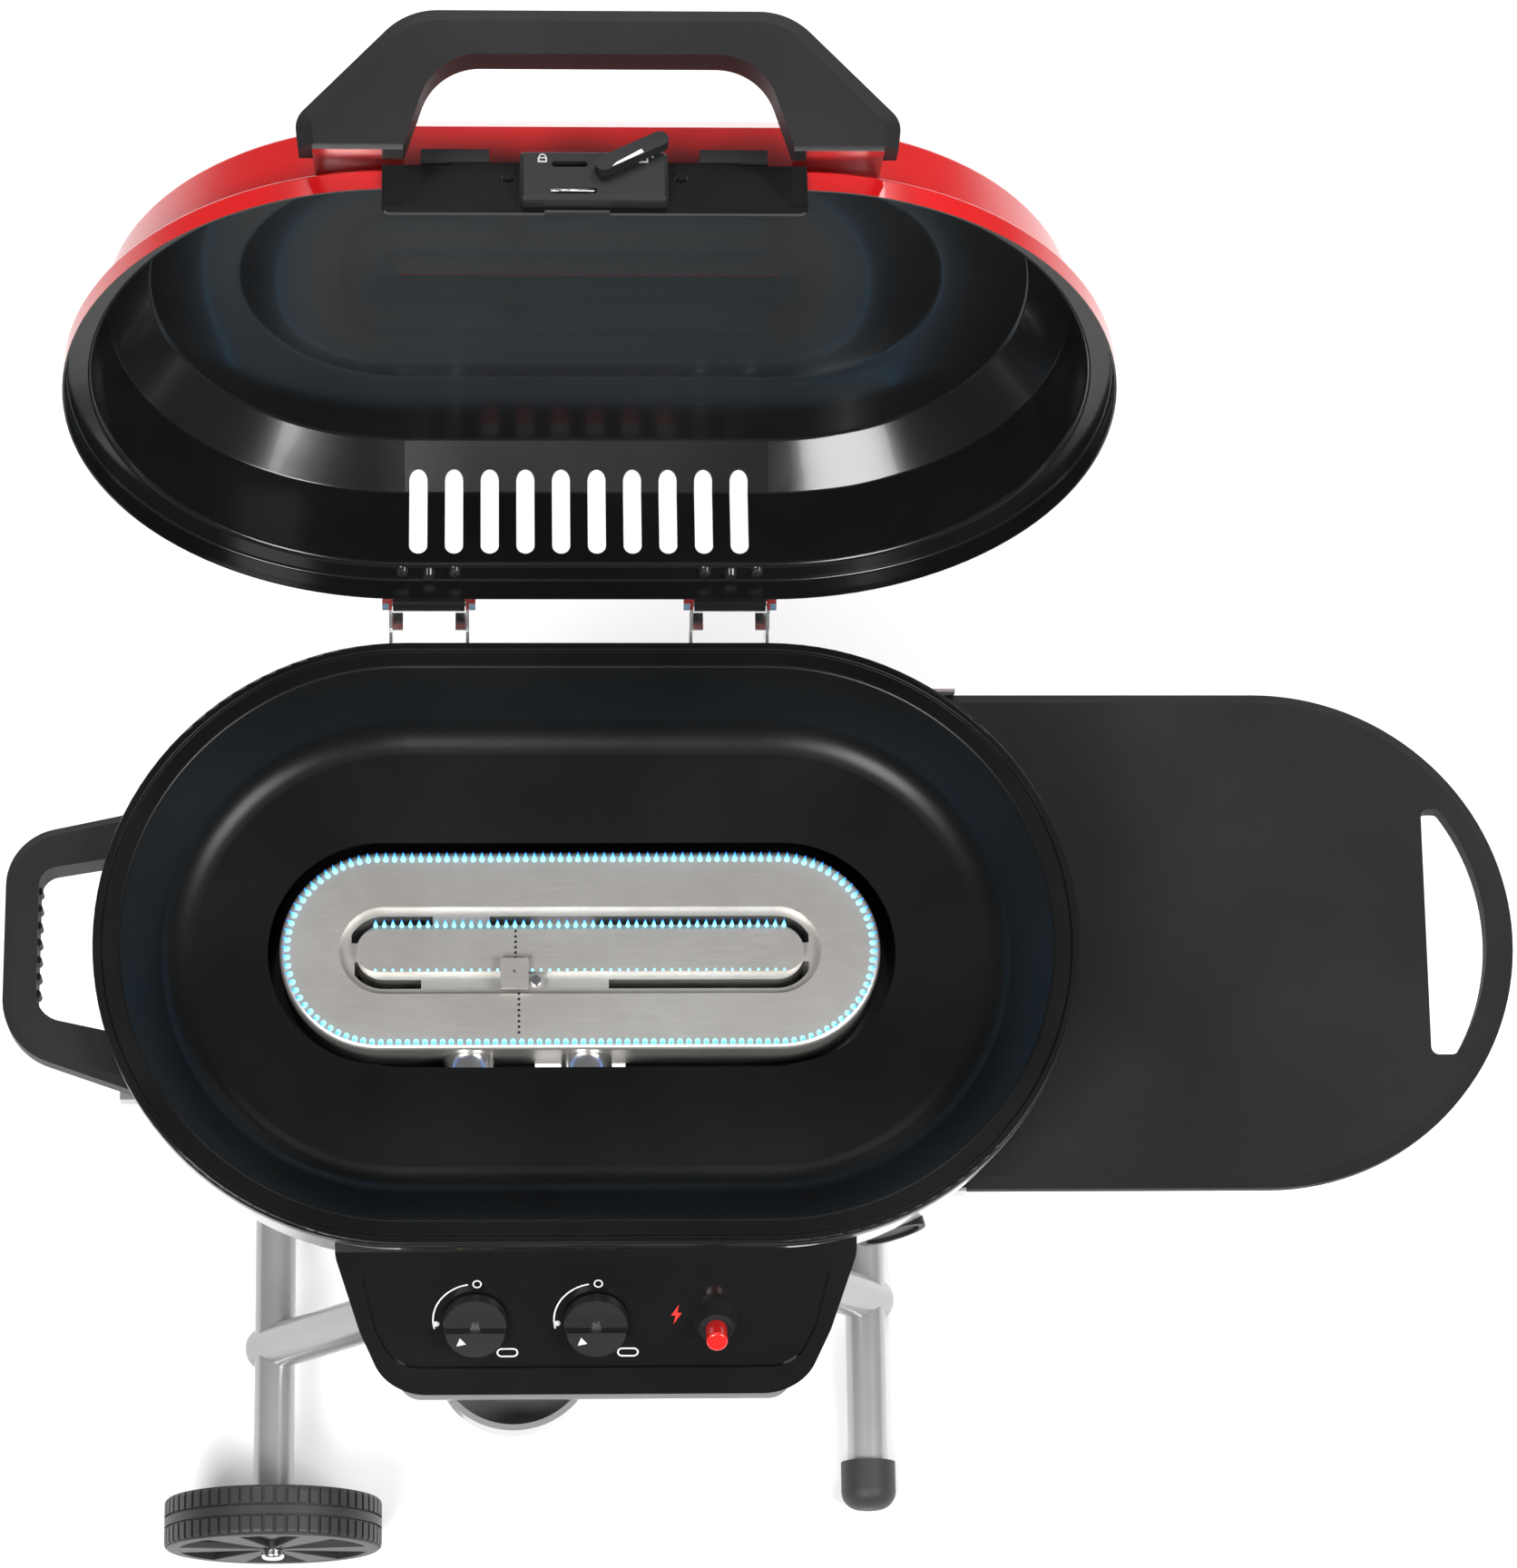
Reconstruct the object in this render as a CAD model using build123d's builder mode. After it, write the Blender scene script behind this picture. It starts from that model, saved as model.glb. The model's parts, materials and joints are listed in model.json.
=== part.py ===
from build123d import *
import os
from math import cos, hypot, radians, sin

# Stand-up gas grill: an oval firebox on a folding two-wheeled scissor stand, with a hinged lid,
# a sliding side table and a front control panel.  Millimetres, +Z up, floor at z = 0.
# Points are given from the middle of the firebox and moved by at() so that the frame's
# origin lies on the floor under the middle of the whole grill.

os.makedirs("parts", exist_ok=True)

# ---------------------------------------------------------------- driving dimensions
CENTRE_X = 114.6                 # middle of the whole grill, from the middle of the firebox
CENTRE_Y = 70.15
RIM_Z = 715.0                    # cooking rim above the floor

# firebox: every pressing is an oval of two half turns joined by two straight runs
STRAIGHT = 111.5                 # half length of the straight runs
RIM_R = 188.3                    # rim radius round the ends
SHEET = 1.2
WALL_R = 185.8                   # outer shell, top
TUCK_R = 183.5                   # outer shell where it starts to turn under
FLOOR_R = 158.0
FLOOR_DROP = 96.0                # shell floor below the rim
LEDGE_R = 172.5
BOWL_DROP = 60.0                 # bowl floor below the rim
GREASE_SLOT = (387.0, 140.0)     # opening in the bowl's floor
GREASE_X = -2.8
BEAD = 5.0                       # width of the raised bead round the rim
BEAD_UP = 1.6

BURNER_X, BURNER_Y = -4.0, 6.0
BURNER = (370.0, 125.0)
BURNER_TOP = -52.0               # heights from here on are taken from the rim
BURNER_FLOOR = -94.0
GROOVE = (297.0, 55.0)
TONGUE = (275.0, 27.0)
FLAME_SLOT_BAND = (17.3, 23.0)   # the slots' edges, from the burner's middle line
FLAME_SLOTS = ((-141.0, -91.0, 1), (-56.0, 141.0, 1), (-139.0, -98.0, -1), (17.3, 141.0, -1))
VENTURI_X = (-72.9, -0.5)
VENTURI_R = 16.0
VENTURI_Z = -77.0
VENTURI_MOUTH = -150.0

# control panel
PANEL_X = 4.2
PANEL_TOP = (-187.5, -25.0)      # y, z of the face's upper edge
PANEL_FOOT = (-262.3, -96.2)     # y, z of its lower edge
PANEL_BACK = -176.0
PANEL_UNDER = -99.0
KNOB_DOWN = 49.5                 # knob centres below the upper edge, along the face
KNOB_X = (-68.8, 4.4)
IGNITER_X = 77.0
KNOB_R, KNOB_H = 19.5, 13.0
STEM_R = 3.0
BUTTON_R = 6.5

# gas supply and drip cup
MANIFOLD_DROP = 10.0
PORT_FACE = (187.0, -167.6)      # middle of the round port's mouth
PORT_TURN = 15.0                 # from straight ahead, to the right
PORT_Z, PORT_R, PORT_LONG = -80.0, 21.0, 42.0
CUP_X, CUP_Y, CUP_R = -45.5, -231.0, 49.0
CUP_TOP, CUP_DEEP = -107.0, 43.0

# lid, drawn closed and held open
OPEN = 108.0
PIN_Y, PIN_UP = 212.0, 7.0
LID_R = 195.5
LID_FOOT = -3.0                  # lower edge of the lid's lip
LIP_H = 12.0                     # top of the lip, where a ledge runs in to the wall
WALL_FOOT = 179.5                # the lid's wall, at the ledge
SHOULDER = (173.2, 61.0)         # radius and height where the wall leans in
CROWN = (149.2, 85.5)            # where the shoulder meets the top
LID_H = 95.0
VENTS, VENT_PITCH, VENT_W, VENT_H = 10, 21.85, 11.0, 53.0
VENT_FOOT = 18.5
HINGE_X = (-97.0, 88.0)
PIN_R = 3.0
BARREL = 44.0
HINGE_HOLES = ((-16.0, 184.5), (0.0, 188.7), (16.0, 184.5))   # x from the hinge's middle, y
HINGE_SCREW_R = 2.0

# side table
TABLE_Y = 27.0
TABLE_W = 320.0
TABLE_TOP = -104.0
TABLE_T = 15.0
TABLE_LEFT, TABLE_RIGHT = 215.0, 585.0

# stand
TUBE_R = 14.3                    # floor tubes
LEG_R = 16.0                     # leg tubes
LEG_WALL, LEG_ROUND = 1.6, 8.0
LEG_ABOVE, LEG_BELOW = 22.0, 20.0  # what stands past the top tube's and the floor tube's middle
BOLT_BORE = 4.05
TOP_R = 11.0                     # top tubes
PIVOT_Z = 565.0
WHEEL_TUBE = (-213.0, 76.0)      # x, z of the wheel frame's floor tube
FOOT_TUBE = (209.0, 19.5)
CROSS = (-19.9, 379.0)
WHEEL_TOP = 98.7
FOOT_TOP = -138.6
WHEEL_LEG_Y, FOOT_LEG_Y = 136.0, 93.0
WHEEL_R, WHEEL_W, WHEEL_Y = 76.0, 35.0, 262.0
AXLE_R = 5.0
TUBE_END = 238.0
FOOT_END = 228.0
HUB_R = 10.0
RIBS = 60
SPOKES = 6
SPOKE = ((HUB_R - 3, -3), (WHEEL_R - 9, -13), (WHEEL_R - 9, 13), (HUB_R - 3, 3))


def at(x, y, z):
    """A point given from the firebox middle at floor level, in the grill's frame."""
    return (x - CENTRE_X, y - CENTRE_Y, z)


def across(x, y, z, side=1):
    """A plane through a place, facing the back (1) or the front (-1)."""
    return Plane(origin=at(x, y, z), x_dir=(1, 0, 0), z_dir=(0, side, 0))


def level(drop):
    """A horizontal plane at a height taken from the rim."""
    return Plane(origin=at(0, 0, RIM_Z + drop))


def facing_front(y, z=RIM_Z):
    """An upright plane that faces the front, with x to the right."""
    return Plane(origin=at(0, y, z), x_dir=(1, 0, 0), z_dir=(0, -1, 0))


def oval(radius):
    """Overall size of an oval of the firebox's family."""
    return 2 * (STRAIGHT + radius), 2 * radius


def sheet_section(points, radii, thickness, side=Side.RIGHT):
    """The section of a pressing: a bent strip, as radius from the oval's middle line and height."""
    with BuildSketch() as section:
        with BuildLine():
            FilletPolyline(*points, radius=radii)
            offset(amount=thickness, side=side)
        make_face()
    return section.sketch


def pressing(section, frame):
    """Carries a section round the oval, straight along both sides and half a turn at both ends."""
    with BuildPart() as ring:
        for side in (1, -1):
            corner = frame.from_local_coords(Vector(side * STRAIGHT, 0, 0))
            start = Plane(origin=corner, x_dir=frame.y_dir * -side, z_dir=frame.x_dir * -side)
            with BuildSketch(start):
                add(section)
            extrude(amount=2 * STRAIGHT)
            with BuildSketch(start):
                add(section)
            revolve(axis=Axis(corner, frame.z_dir), revolution_arc=180)
    return ring.part


BODY = level(0)
face_run = hypot(PANEL_FOOT[0] - PANEL_TOP[0], PANEL_FOOT[1] - PANEL_TOP[1])
face_down = ((PANEL_FOOT[0] - PANEL_TOP[0]) / face_run, (PANEL_FOOT[1] - PANEL_TOP[1]) / face_run)
FACE = Plane(
    origin=at(0, PANEL_TOP[0], RIM_Z + PANEL_TOP[1]),
    x_dir=(1, 0, 0),
    z_dir=(0, face_down[1], -face_down[0]),
)


def on_face(x, down=KNOB_DOWN, height=0.0):
    """The panel's face plane, moved to a point of the face and up along its normal."""
    return Plane(
        origin=FACE.from_local_coords(Vector(x, -down, height)), x_dir=FACE.x_dir, z_dir=FACE.z_dir
    )


# ---------------------------------------------------------------- firebox
bowl_section = sheet_section(
    [
        (RIM_R, -9), (RIM_R, 0), (RIM_R - BEAD, 0), (RIM_R - BEAD - 1, -BEAD_UP), (LEDGE_R, -BEAD_UP),
        (142, -47), (66, -BOWL_DROP),
    ],
    [2, 1, 0.5, 3, 28],
    SHEET,
    Side.LEFT,
)
bowl_pressing = pressing(bowl_section, BODY)

with BuildPart() as bowl:
    add(bowl_pressing)
    with BuildSketch(level(-BOWL_DROP - 5)):
        with Locations((GREASE_X, BURNER_Y)):
            SlotOverall(*GREASE_SLOT)
    extrude(amount=20, mode=Mode.SUBTRACT)
bowl.part.label = "bowl"
export_step(bowl.part, "parts/bowl.step")

shell_section = sheet_section(
    [(WALL_R, -3), (TUCK_R, -68), (FLOOR_R, -FLOOR_DROP), (98, -FLOOR_DROP)], [14, 14], SHEET, Side.RIGHT
)
shell_pressing = pressing(shell_section, BODY)
port_out = Vector(sin(radians(PORT_TURN)), -cos(radians(PORT_TURN)), 0)
PORT = Plane(
    origin=Vector(*at(*PORT_FACE, RIM_Z + PORT_Z)) - port_out * PORT_LONG, x_dir=(0, 0, 1), z_dir=port_out
)
JET_HOLE_R = 6.0
# left edge, right edge, middle y and width of each hole in the shell's floor
AIR_HOLES = (
    (-33.0, 6.0, 30.0, 10.0),
    (16.0, 23.0, -3.5, 9.0),
    (32.7, 60.4, -3.5, 9.0),
    (-32.0, 24.0, -66.0, 34.0),
)

with BuildPart() as outer_shell:
    add(shell_pressing)
    with BuildSketch(level(-FLOOR_DROP)):
        SlotOverall(*oval(99))
    extrude(amount=SHEET)
    for x in VENTURI_X:
        with BuildSketch(facing_front(0, RIM_Z + VENTURI_Z)):
            with Locations((x, 0)):
                Circle(JET_HOLE_R)
        extrude(amount=200, mode=Mode.SUBTRACT)
    with BuildSketch(level(-FLOOR_DROP - 1)):
        for left, right, y, wide in AIR_HOLES:
            with Locations(((left + right) / 2, y)):
                RectangleRounded(right - left, wide, 3)
    extrude(amount=4, mode=Mode.SUBTRACT)
    with BuildSketch(PORT):
        Circle(PORT_R + 0.1)
    extrude(amount=60, mode=Mode.SUBTRACT)
outer_shell.part.label = "outer_shell"
export_step(outer_shell.part, "parts/outer_shell.step")

# ---------------------------------------------------------------- burner
def flame_slots(grow):
    """Four long air slots that follow the groove round the burner's tongue."""
    half = GROOVE[0] / 2 - GROOVE[1] / 2
    inner, outer = FLAME_SLOT_BAND[0] - grow, FLAME_SLOT_BAND[1] + grow
    with BuildSketch(mode=Mode.PRIVATE) as slots:
        for left, right, row in FLAME_SLOTS:
            with Locations((BURNER_X + (left + right) / 2, BURNER_Y + row * (outer + 6) / 2)):
                Rectangle(right - left + 2 * grow, outer - 6)
        with Locations((BURNER_X, BURNER_Y)):
            SlotOverall(2 * (half + outer), 2 * outer, mode=Mode.INTERSECT)
            SlotOverall(2 * (half + inner), 2 * inner, mode=Mode.SUBTRACT)
    return slots.sketch


with BuildPart() as burner_top:
    with BuildSketch(level(BURNER_TOP - 8)):
        with Locations((BURNER_X, BURNER_Y)):
            SlotOverall(*BURNER)
    extrude(amount=8)
    fillet(burner_top.edges().group_by(Axis.Z)[-1], 3)
    with BuildSketch(level(BURNER_TOP - 6)):
        with Locations((BURNER_X, BURNER_Y)):
            SlotOverall(*GROOVE)
            SlotOverall(*TONGUE, mode=Mode.SUBTRACT)
    extrude(amount=7, mode=Mode.SUBTRACT)
    with BuildSketch(level(BURNER_TOP - 8)):
        with Locations((BURNER_X, BURNER_Y)):
            SlotOverall(BURNER[0] - 5, BURNER[1] - 5)
            SlotOverall(GROOVE[0] + 3, GROOVE[1] + 3, mode=Mode.SUBTRACT)
            SlotOverall(TONGUE[0] - 3, TONGUE[1] - 3)
    extrude(amount=5.5, mode=Mode.SUBTRACT)
    with BuildSketch(level(BURNER_TOP - 9)):
        add(flame_slots(0))
    extrude(amount=10, mode=Mode.SUBTRACT)
burner_top.part.label = "burner_top"
export_step(burner_top.part, "parts/burner_top.step")

with BuildPart() as burner_body:
    with BuildSketch(level(BURNER_FLOOR)):
        with Locations((BURNER_X, BURNER_Y)):
            SlotOverall(BURNER[0] - 1, BURNER[1] - 1)
    extrude(amount=BURNER_TOP - 8 - BURNER_FLOOR)
    with BuildSketch(level(BURNER_FLOOR + SHEET)):
        with Locations((BURNER_X, BURNER_Y)):
            SlotOverall(BURNER[0] - 3.4, BURNER[1] - 3.4)
            SlotOverall(GROOVE[0] + 2, GROOVE[1] + 2, mode=Mode.SUBTRACT)
    extrude(amount=60, mode=Mode.SUBTRACT)
    with BuildSketch(level(BURNER_FLOOR + SHEET)):
        with Locations((BURNER_X, BURNER_Y)):
            SlotOverall(TONGUE[0] - 2, TONGUE[1] - 2)
    extrude(amount=60, mode=Mode.SUBTRACT)
    with BuildSketch(level(BURNER_FLOOR - 1)):
        add(flame_slots(0.5))
    extrude(amount=60, mode=Mode.SUBTRACT)
    for x in VENTURI_X:
        with BuildSketch(facing_front(BURNER_Y - BURNER[1] / 2 + 10, RIM_Z + VENTURI_Z)):
            with Locations((x, 0)):
                Circle(VENTURI_R)
        extrude(amount=20, mode=Mode.SUBTRACT)
burner_body.part.label = "burner_body"
export_step(burner_body.part, "parts/burner_body.step")

with BuildPart() as venturis:
    for x in VENTURI_X:
        with BuildSketch(facing_front(BURNER_Y - BURNER[1] / 2 + 2, RIM_Z + VENTURI_Z)):
            with Locations((x, 0)):
                Circle(VENTURI_R)
                Circle(VENTURI_R - SHEET, mode=Mode.SUBTRACT)
        extrude(amount=BURNER_Y - BURNER[1] / 2 + 2 - VENTURI_MOUTH)
venturis.part.label = "venturis"
export_step(venturis.part, "parts/venturis.step")

ELECTRODE_X, ELECTRODE_Y = -44.6, -10.0
COVER = (17.0, 19.0)
COVER_WALL, COVER_H = 1.0, 5.5
TAB_X, TAB_Y, TAB_HOLE = 13.0, -4.0, 2.1
with BuildPart() as electrode_cover:
    with BuildSketch(level(BURNER_TOP)):
        with Locations((ELECTRODE_X + TAB_X, ELECTRODE_Y + TAB_Y)):
            Rectangle(9.4, 9)
            Circle(TAB_HOLE, mode=Mode.SUBTRACT)
    extrude(amount=COVER_WALL)
    with BuildSketch(level(BURNER_TOP)):
        with Locations((ELECTRODE_X, ELECTRODE_Y)):
            Rectangle(*COVER)
    extrude(amount=COVER_H + COVER_WALL)
    with BuildSketch(level(BURNER_TOP)):
        with Locations((ELECTRODE_X, ELECTRODE_Y)):
            Rectangle(COVER[0] - 2 * COVER_WALL, COVER[1] - 2 * COVER_WALL)
    extrude(amount=COVER_H, mode=Mode.SUBTRACT)
    with BuildSketch(level(BURNER_TOP)):
        with Locations((ELECTRODE_X, ELECTRODE_Y + 1)):
            Circle(1.2)
    extrude(amount=COVER_H + 2, mode=Mode.SUBTRACT)
electrode_cover.part.label = "electrode_cover"
export_step(electrode_cover.part, "parts/electrode_cover.step")

with BuildPart() as electrode:
    with BuildSketch(level(BURNER_TOP)):
        with Locations((ELECTRODE_X, ELECTRODE_Y)):
            Circle(3.5)
    extrude(amount=3)
    with BuildSketch(level(BURNER_TOP + 3)):
        with Locations((ELECTRODE_X, ELECTRODE_Y)):
            Circle(0.9)
    extrude(amount=2)
electrode.part.label = "electrode"
export_step(electrode.part, "parts/electrode.step")

with BuildPart() as electrode_screw:
    with BuildSketch(level(BURNER_TOP + 1)):
        with Locations((ELECTRODE_X + TAB_X, ELECTRODE_Y + TAB_Y)):
            Circle(3.6)
    extrude(amount=2)
    fillet(electrode_screw.edges().group_by(Axis.Z)[-1], 1)
    with BuildSketch(level(BURNER_TOP)):
        with Locations((ELECTRODE_X + TAB_X, ELECTRODE_Y + TAB_Y)):
            Circle(2)
    extrude(amount=1)
electrode_screw.part.label = "electrode_screw"
export_step(electrode_screw.part, "parts/electrode_screw.step")

# ---------------------------------------------------------------- gas train
VALVE_NEAR, VALVE_FAR = -7.0, -37.0
VALVE_HALF = 11.0
manifold_down = KNOB_DOWN + VALVE_HALF + MANIFOLD_DROP
manifold_depth = (VALVE_NEAR + VALVE_FAR) / 2
MANIFOLD = FACE.from_local_coords(Vector(0, -manifold_down, manifold_depth))
MANIFOLD_Y, MANIFOLD_Z = MANIFOLD.Y + CENTRE_Y, MANIFOLD.Z
MANIFOLD_R = 5.0
JET_BACK = -192.0


def valve(x, jet_x):
    """A gas valve: its block behind the face, its jet into the venturi and its branch to the manifold."""
    with BuildPart() as body:
        with BuildSketch(on_face(x, KNOB_DOWN, VALVE_FAR)):
            RectangleRounded(2 * VALVE_HALF, 2 * VALVE_HALF, 3)
        extrude(amount=VALVE_NEAR - VALVE_FAR)
        with BuildSketch(across(jet_x, JET_BACK, RIM_Z + VENTURI_Z)):
            Circle(4)
        extrude(amount=VENTURI_MOUTH + 4 - JET_BACK)
        branch = Plane(
            origin=FACE.from_local_coords(Vector(x, -KNOB_DOWN - VALVE_HALF + 1, manifold_depth)),
            x_dir=(1, 0, 0),
            z_dir=-FACE.y_dir,
        )
        with BuildSketch(branch):
            Circle(4)
        extrude(amount=MANIFOLD_DROP)
        with BuildSketch(Plane(origin=at(x - 10, MANIFOLD_Y, MANIFOLD_Z), x_dir=(0, 1, 0), z_dir=(1, 0, 0))):
            Circle(MANIFOLD_R)
        extrude(amount=20, mode=Mode.SUBTRACT)
        with BuildSketch(on_face(x, KNOB_DOWN, VALVE_NEAR - 16)):
            Circle(STEM_R + 0.05)
        extrude(amount=20, mode=Mode.SUBTRACT)
    return body.part


valve_left = valve(KNOB_X[0], VENTURI_X[0])
valve_left.label = "valve_left"
export_step(valve_left, "parts/valve_left.step")

valve_right = valve(KNOB_X[1], VENTURI_X[1])
valve_right.label = "valve_right"
export_step(valve_right, "parts/valve_right.step")


def stem(x):
    """The spindle that a knob turns, with its flat left off."""
    with BuildPart() as spindle:
        with BuildSketch(on_face(x, KNOB_DOWN, VALVE_NEAR - 15)):
            Circle(STEM_R)
        extrude(amount=15 - VALVE_NEAR + 9)
    return spindle.part


valve_stem_left = stem(KNOB_X[0])
valve_stem_left.label = "valve_stem_left"
export_step(valve_stem_left, "parts/valve_stem_left.step")

valve_stem_right = stem(KNOB_X[1])
valve_stem_right.label = "valve_stem_right"
export_step(valve_stem_right, "parts/valve_stem_right.step")

with BuildPart() as manifold:
    with BuildSketch(Plane(origin=at(-82, MANIFOLD_Y, MANIFOLD_Z), x_dir=(0, 1, 0), z_dir=(1, 0, 0))):
        Circle(MANIFOLD_R)
    extrude(amount=200)
manifold.part.label = "manifold"
export_step(manifold.part, "parts/manifold.step")

# ---------------------------------------------------------------- drip cup under the panel
CUP_WALL = 1.2
HANGER_R = CUP_R + 4.0
with BuildPart() as drip_cup:
    with BuildSketch(Plane(origin=at(CUP_X, CUP_Y, RIM_Z + CUP_TOP - CUP_DEEP))):
        Circle(CUP_R)
    extrude(amount=CUP_DEEP)
    fillet(drip_cup.edges().group_by(Axis.Z)[0], 3)
    with BuildSketch(Plane(origin=at(CUP_X, CUP_Y, RIM_Z + CUP_TOP - CUP_DEEP + CUP_WALL))):
        Circle(CUP_R - CUP_WALL)
    extrude(amount=CUP_DEEP, mode=Mode.SUBTRACT)
    with BuildSketch(Plane(origin=at(CUP_X, CUP_Y, RIM_Z + CUP_TOP - CUP_WALL))):
        Circle(CUP_R + 2.5)
        Circle(CUP_R - CUP_WALL, mode=Mode.SUBTRACT)
    extrude(amount=CUP_WALL)
drip_cup.part.label = "drip_cup"
export_step(drip_cup.part, "parts/drip_cup.step")

with BuildPart() as cup_hanger:
    with BuildSketch(Plane(origin=at(CUP_X, CUP_Y, RIM_Z + CUP_TOP - CUP_WALL - 2))):
        Circle(HANGER_R)
        Circle(CUP_R + 0.1, mode=Mode.SUBTRACT)
        with Locations((0, HANGER_R)):
            Rectangle(4 * HANGER_R, 2 * HANGER_R + 40, mode=Mode.INTERSECT)
    extrude(amount=2)
    for side in (1, -1):
        strap_x = CUP_X + side * (CUP_R + 6.5)
        with BuildSketch(Plane(origin=at(strap_x, CUP_Y + 6, RIM_Z + CUP_TOP - CUP_WALL - 2))):
            Rectangle(7, 16)
        extrude(amount=PANEL_UNDER - 1.6 - CUP_TOP + CUP_WALL + 2)
cup_hanger.part.label = "cup_hanger"
export_step(cup_hanger.part, "parts/cup_hanger.step")

with BuildPart() as inlet_port:
    with BuildSketch(PORT):
        Circle(PORT_R)
    extrude(amount=PORT_LONG)
    with BuildSketch(PORT.offset(PORT_LONG - 2)):
        Circle(PORT_R - 4)
    extrude(amount=4, mode=Mode.SUBTRACT)
inlet_port.part.label = "inlet_port"
export_step(inlet_port.part, "parts/inlet_port.step")

# ---------------------------------------------------------------- control panel
PANEL_WALL = 3.0
PANEL_OUTLINE = ((157.0, 30.0), (157.0, -3.0), (143.0, -57.0), (126.0, -103.3))
PANEL_ROUNDS = [1, 30, 60, 34, 34, 60, 30, 1]
POCKET_OUTLINE = ((142.0, -12.0), (134.0, -55.0), (122.0, -84.0))
POCKET_DEEP = 1.5


def mirrored(half, inset=0.0):
    """The corners of a shape that is the same left and right, drawn in by an inset."""
    left = [(-x + inset, y + (inset if y == half[-1][1] else 0)) for x, y in half]
    return left + [(-x, y) for x, y in reversed(left)]


def panel_block(inset):
    """The panel's wedge, cut to its rounded outline and drawn in by a wall thickness."""
    with BuildPart() as block:
        with BuildSketch(Plane(origin=at(PANEL_X - 170, 0, RIM_Z), x_dir=(0, 1, 0), z_dir=(1, 0, 0))):
            with BuildLine():
                Polyline(
                    (PANEL_BACK, PANEL_TOP[1] + 4 - inset),
                    (PANEL_TOP[0] + inset * 0.7, PANEL_TOP[1] - inset * 0.7),
                    (PANEL_FOOT[0] + inset * 1.7, PANEL_FOOT[1] + inset * 0.2),
                    (PANEL_FOOT[0] + 1 + inset * 1.4, PANEL_UNDER),
                    (PANEL_BACK, PANEL_UNDER),
                    close=True,
                )
            make_face()
        extrude(amount=340)
        with BuildSketch(on_face(PANEL_X, 0, -110)):
            with BuildLine():
                FilletPolyline(*mirrored(PANEL_OUTLINE, inset), radius=PANEL_ROUNDS, close=True)
            make_face()
        extrude(amount=160, mode=Mode.INTERSECT)
    return block.part


panel_outside = panel_block(0)
panel_inside = panel_block(PANEL_WALL)

with BuildPart() as control_panel:
    add(panel_outside)
    add(panel_inside, mode=Mode.SUBTRACT)
    with BuildSketch(level(-130)):
        SlotOverall(*oval(WALL_R + 0.3))
    extrude(amount=130, mode=Mode.SUBTRACT)
    with BuildSketch(on_face(PANEL_X, 0, 0)):
        with BuildLine():
            FilletPolyline(*mirrored(POCKET_OUTLINE), radius=[6, 30, 24, 24, 30, 6], close=True)
        make_face()
    extrude(amount=-POCKET_DEEP, mode=Mode.SUBTRACT)
    for x in KNOB_X:
        with BuildSketch(on_face(x, KNOB_DOWN, -12)):
            Circle(5)
        extrude(amount=24, mode=Mode.SUBTRACT)
    with BuildSketch(on_face(IGNITER_X, KNOB_DOWN, -12)):
        Circle(9)
    extrude(amount=24, mode=Mode.SUBTRACT)
control_panel.part.label = "control_panel"
export_step(control_panel.part, "parts/control_panel.step")

with BuildPart() as panel_pan:
    with BuildSketch(level(PANEL_UNDER - 1.6)):
        with Locations((PANEL_X, (PANEL_FOOT[0] - 2.5 + PANEL_BACK - 4) / 2)):
            RectangleRounded(240, PANEL_BACK - 4 - (PANEL_FOOT[0] - 2.5), 14)
    extrude(amount=1.6)
panel_pan.part.label = "panel_pan"
export_step(panel_pan.part, "parts/panel_pan.step")


KNOB_GAP = 0.5                   # over the panel's face
KNOB_SKIRT = 7.0
KNOB_BORE = 9.0


def knob(x):
    """A round control knob whose lower half stands up as a grip."""
    with BuildPart() as body:
        with BuildSketch(on_face(x, KNOB_DOWN, KNOB_GAP)):
            Circle(KNOB_R)
        extrude(amount=KNOB_SKIRT, taper=6)
        with BuildSketch(on_face(x, KNOB_DOWN, KNOB_GAP + KNOB_SKIRT)):
            Circle(KNOB_R - 1.2)
            with Locations((0, -20.5)):
                Rectangle(60, 40, mode=Mode.INTERSECT)
        extrude(amount=KNOB_H - KNOB_GAP - KNOB_SKIRT, taper=4)
        with BuildSketch(on_face(x, KNOB_DOWN, 0)):
            Circle(STEM_R)
        extrude(amount=KNOB_BORE, mode=Mode.SUBTRACT)
    return body.part


knob_left = knob(KNOB_X[0])
knob_left.label = "knob_left"
export_step(knob_left, "parts/knob_left.step")

knob_right = knob(KNOB_X[1])
knob_right.label = "knob_right"
export_step(knob_right, "parts/knob_right.step")

with BuildPart() as igniter_bezel:
    with BuildSketch(on_face(IGNITER_X, KNOB_DOWN, -POCKET_DEEP)):
        Circle(14)
    extrude(amount=12, taper=16)
    with BuildSketch(on_face(IGNITER_X, KNOB_DOWN, -14)):
        Circle(9)
    extrude(amount=14)
    with BuildSketch(on_face(IGNITER_X, KNOB_DOWN, -15)):
        Circle(BUTTON_R + 0.1)
    extrude(amount=40, mode=Mode.SUBTRACT)
igniter_bezel.part.label = "igniter_bezel"
export_step(igniter_bezel.part, "parts/igniter_bezel.step")

with BuildPart() as igniter_button:
    with BuildSketch(on_face(IGNITER_X, KNOB_DOWN, -6)):
        Circle(BUTTON_R)
    extrude(amount=31)
    fillet(igniter_button.edges().sort_by(Axis(FACE.origin, FACE.z_dir))[-1], 1.5)
igniter_button.part.label = "igniter_button"
export_step(igniter_button.part, "parts/igniter_button.step")

with BuildPart() as igniter_module:
    with BuildSketch(on_face(IGNITER_X, KNOB_DOWN, -40)):
        Circle(9)
    extrude(amount=26)
igniter_module.part.label = "igniter_module"
export_step(igniter_module.part, "parts/igniter_module.step")

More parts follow.
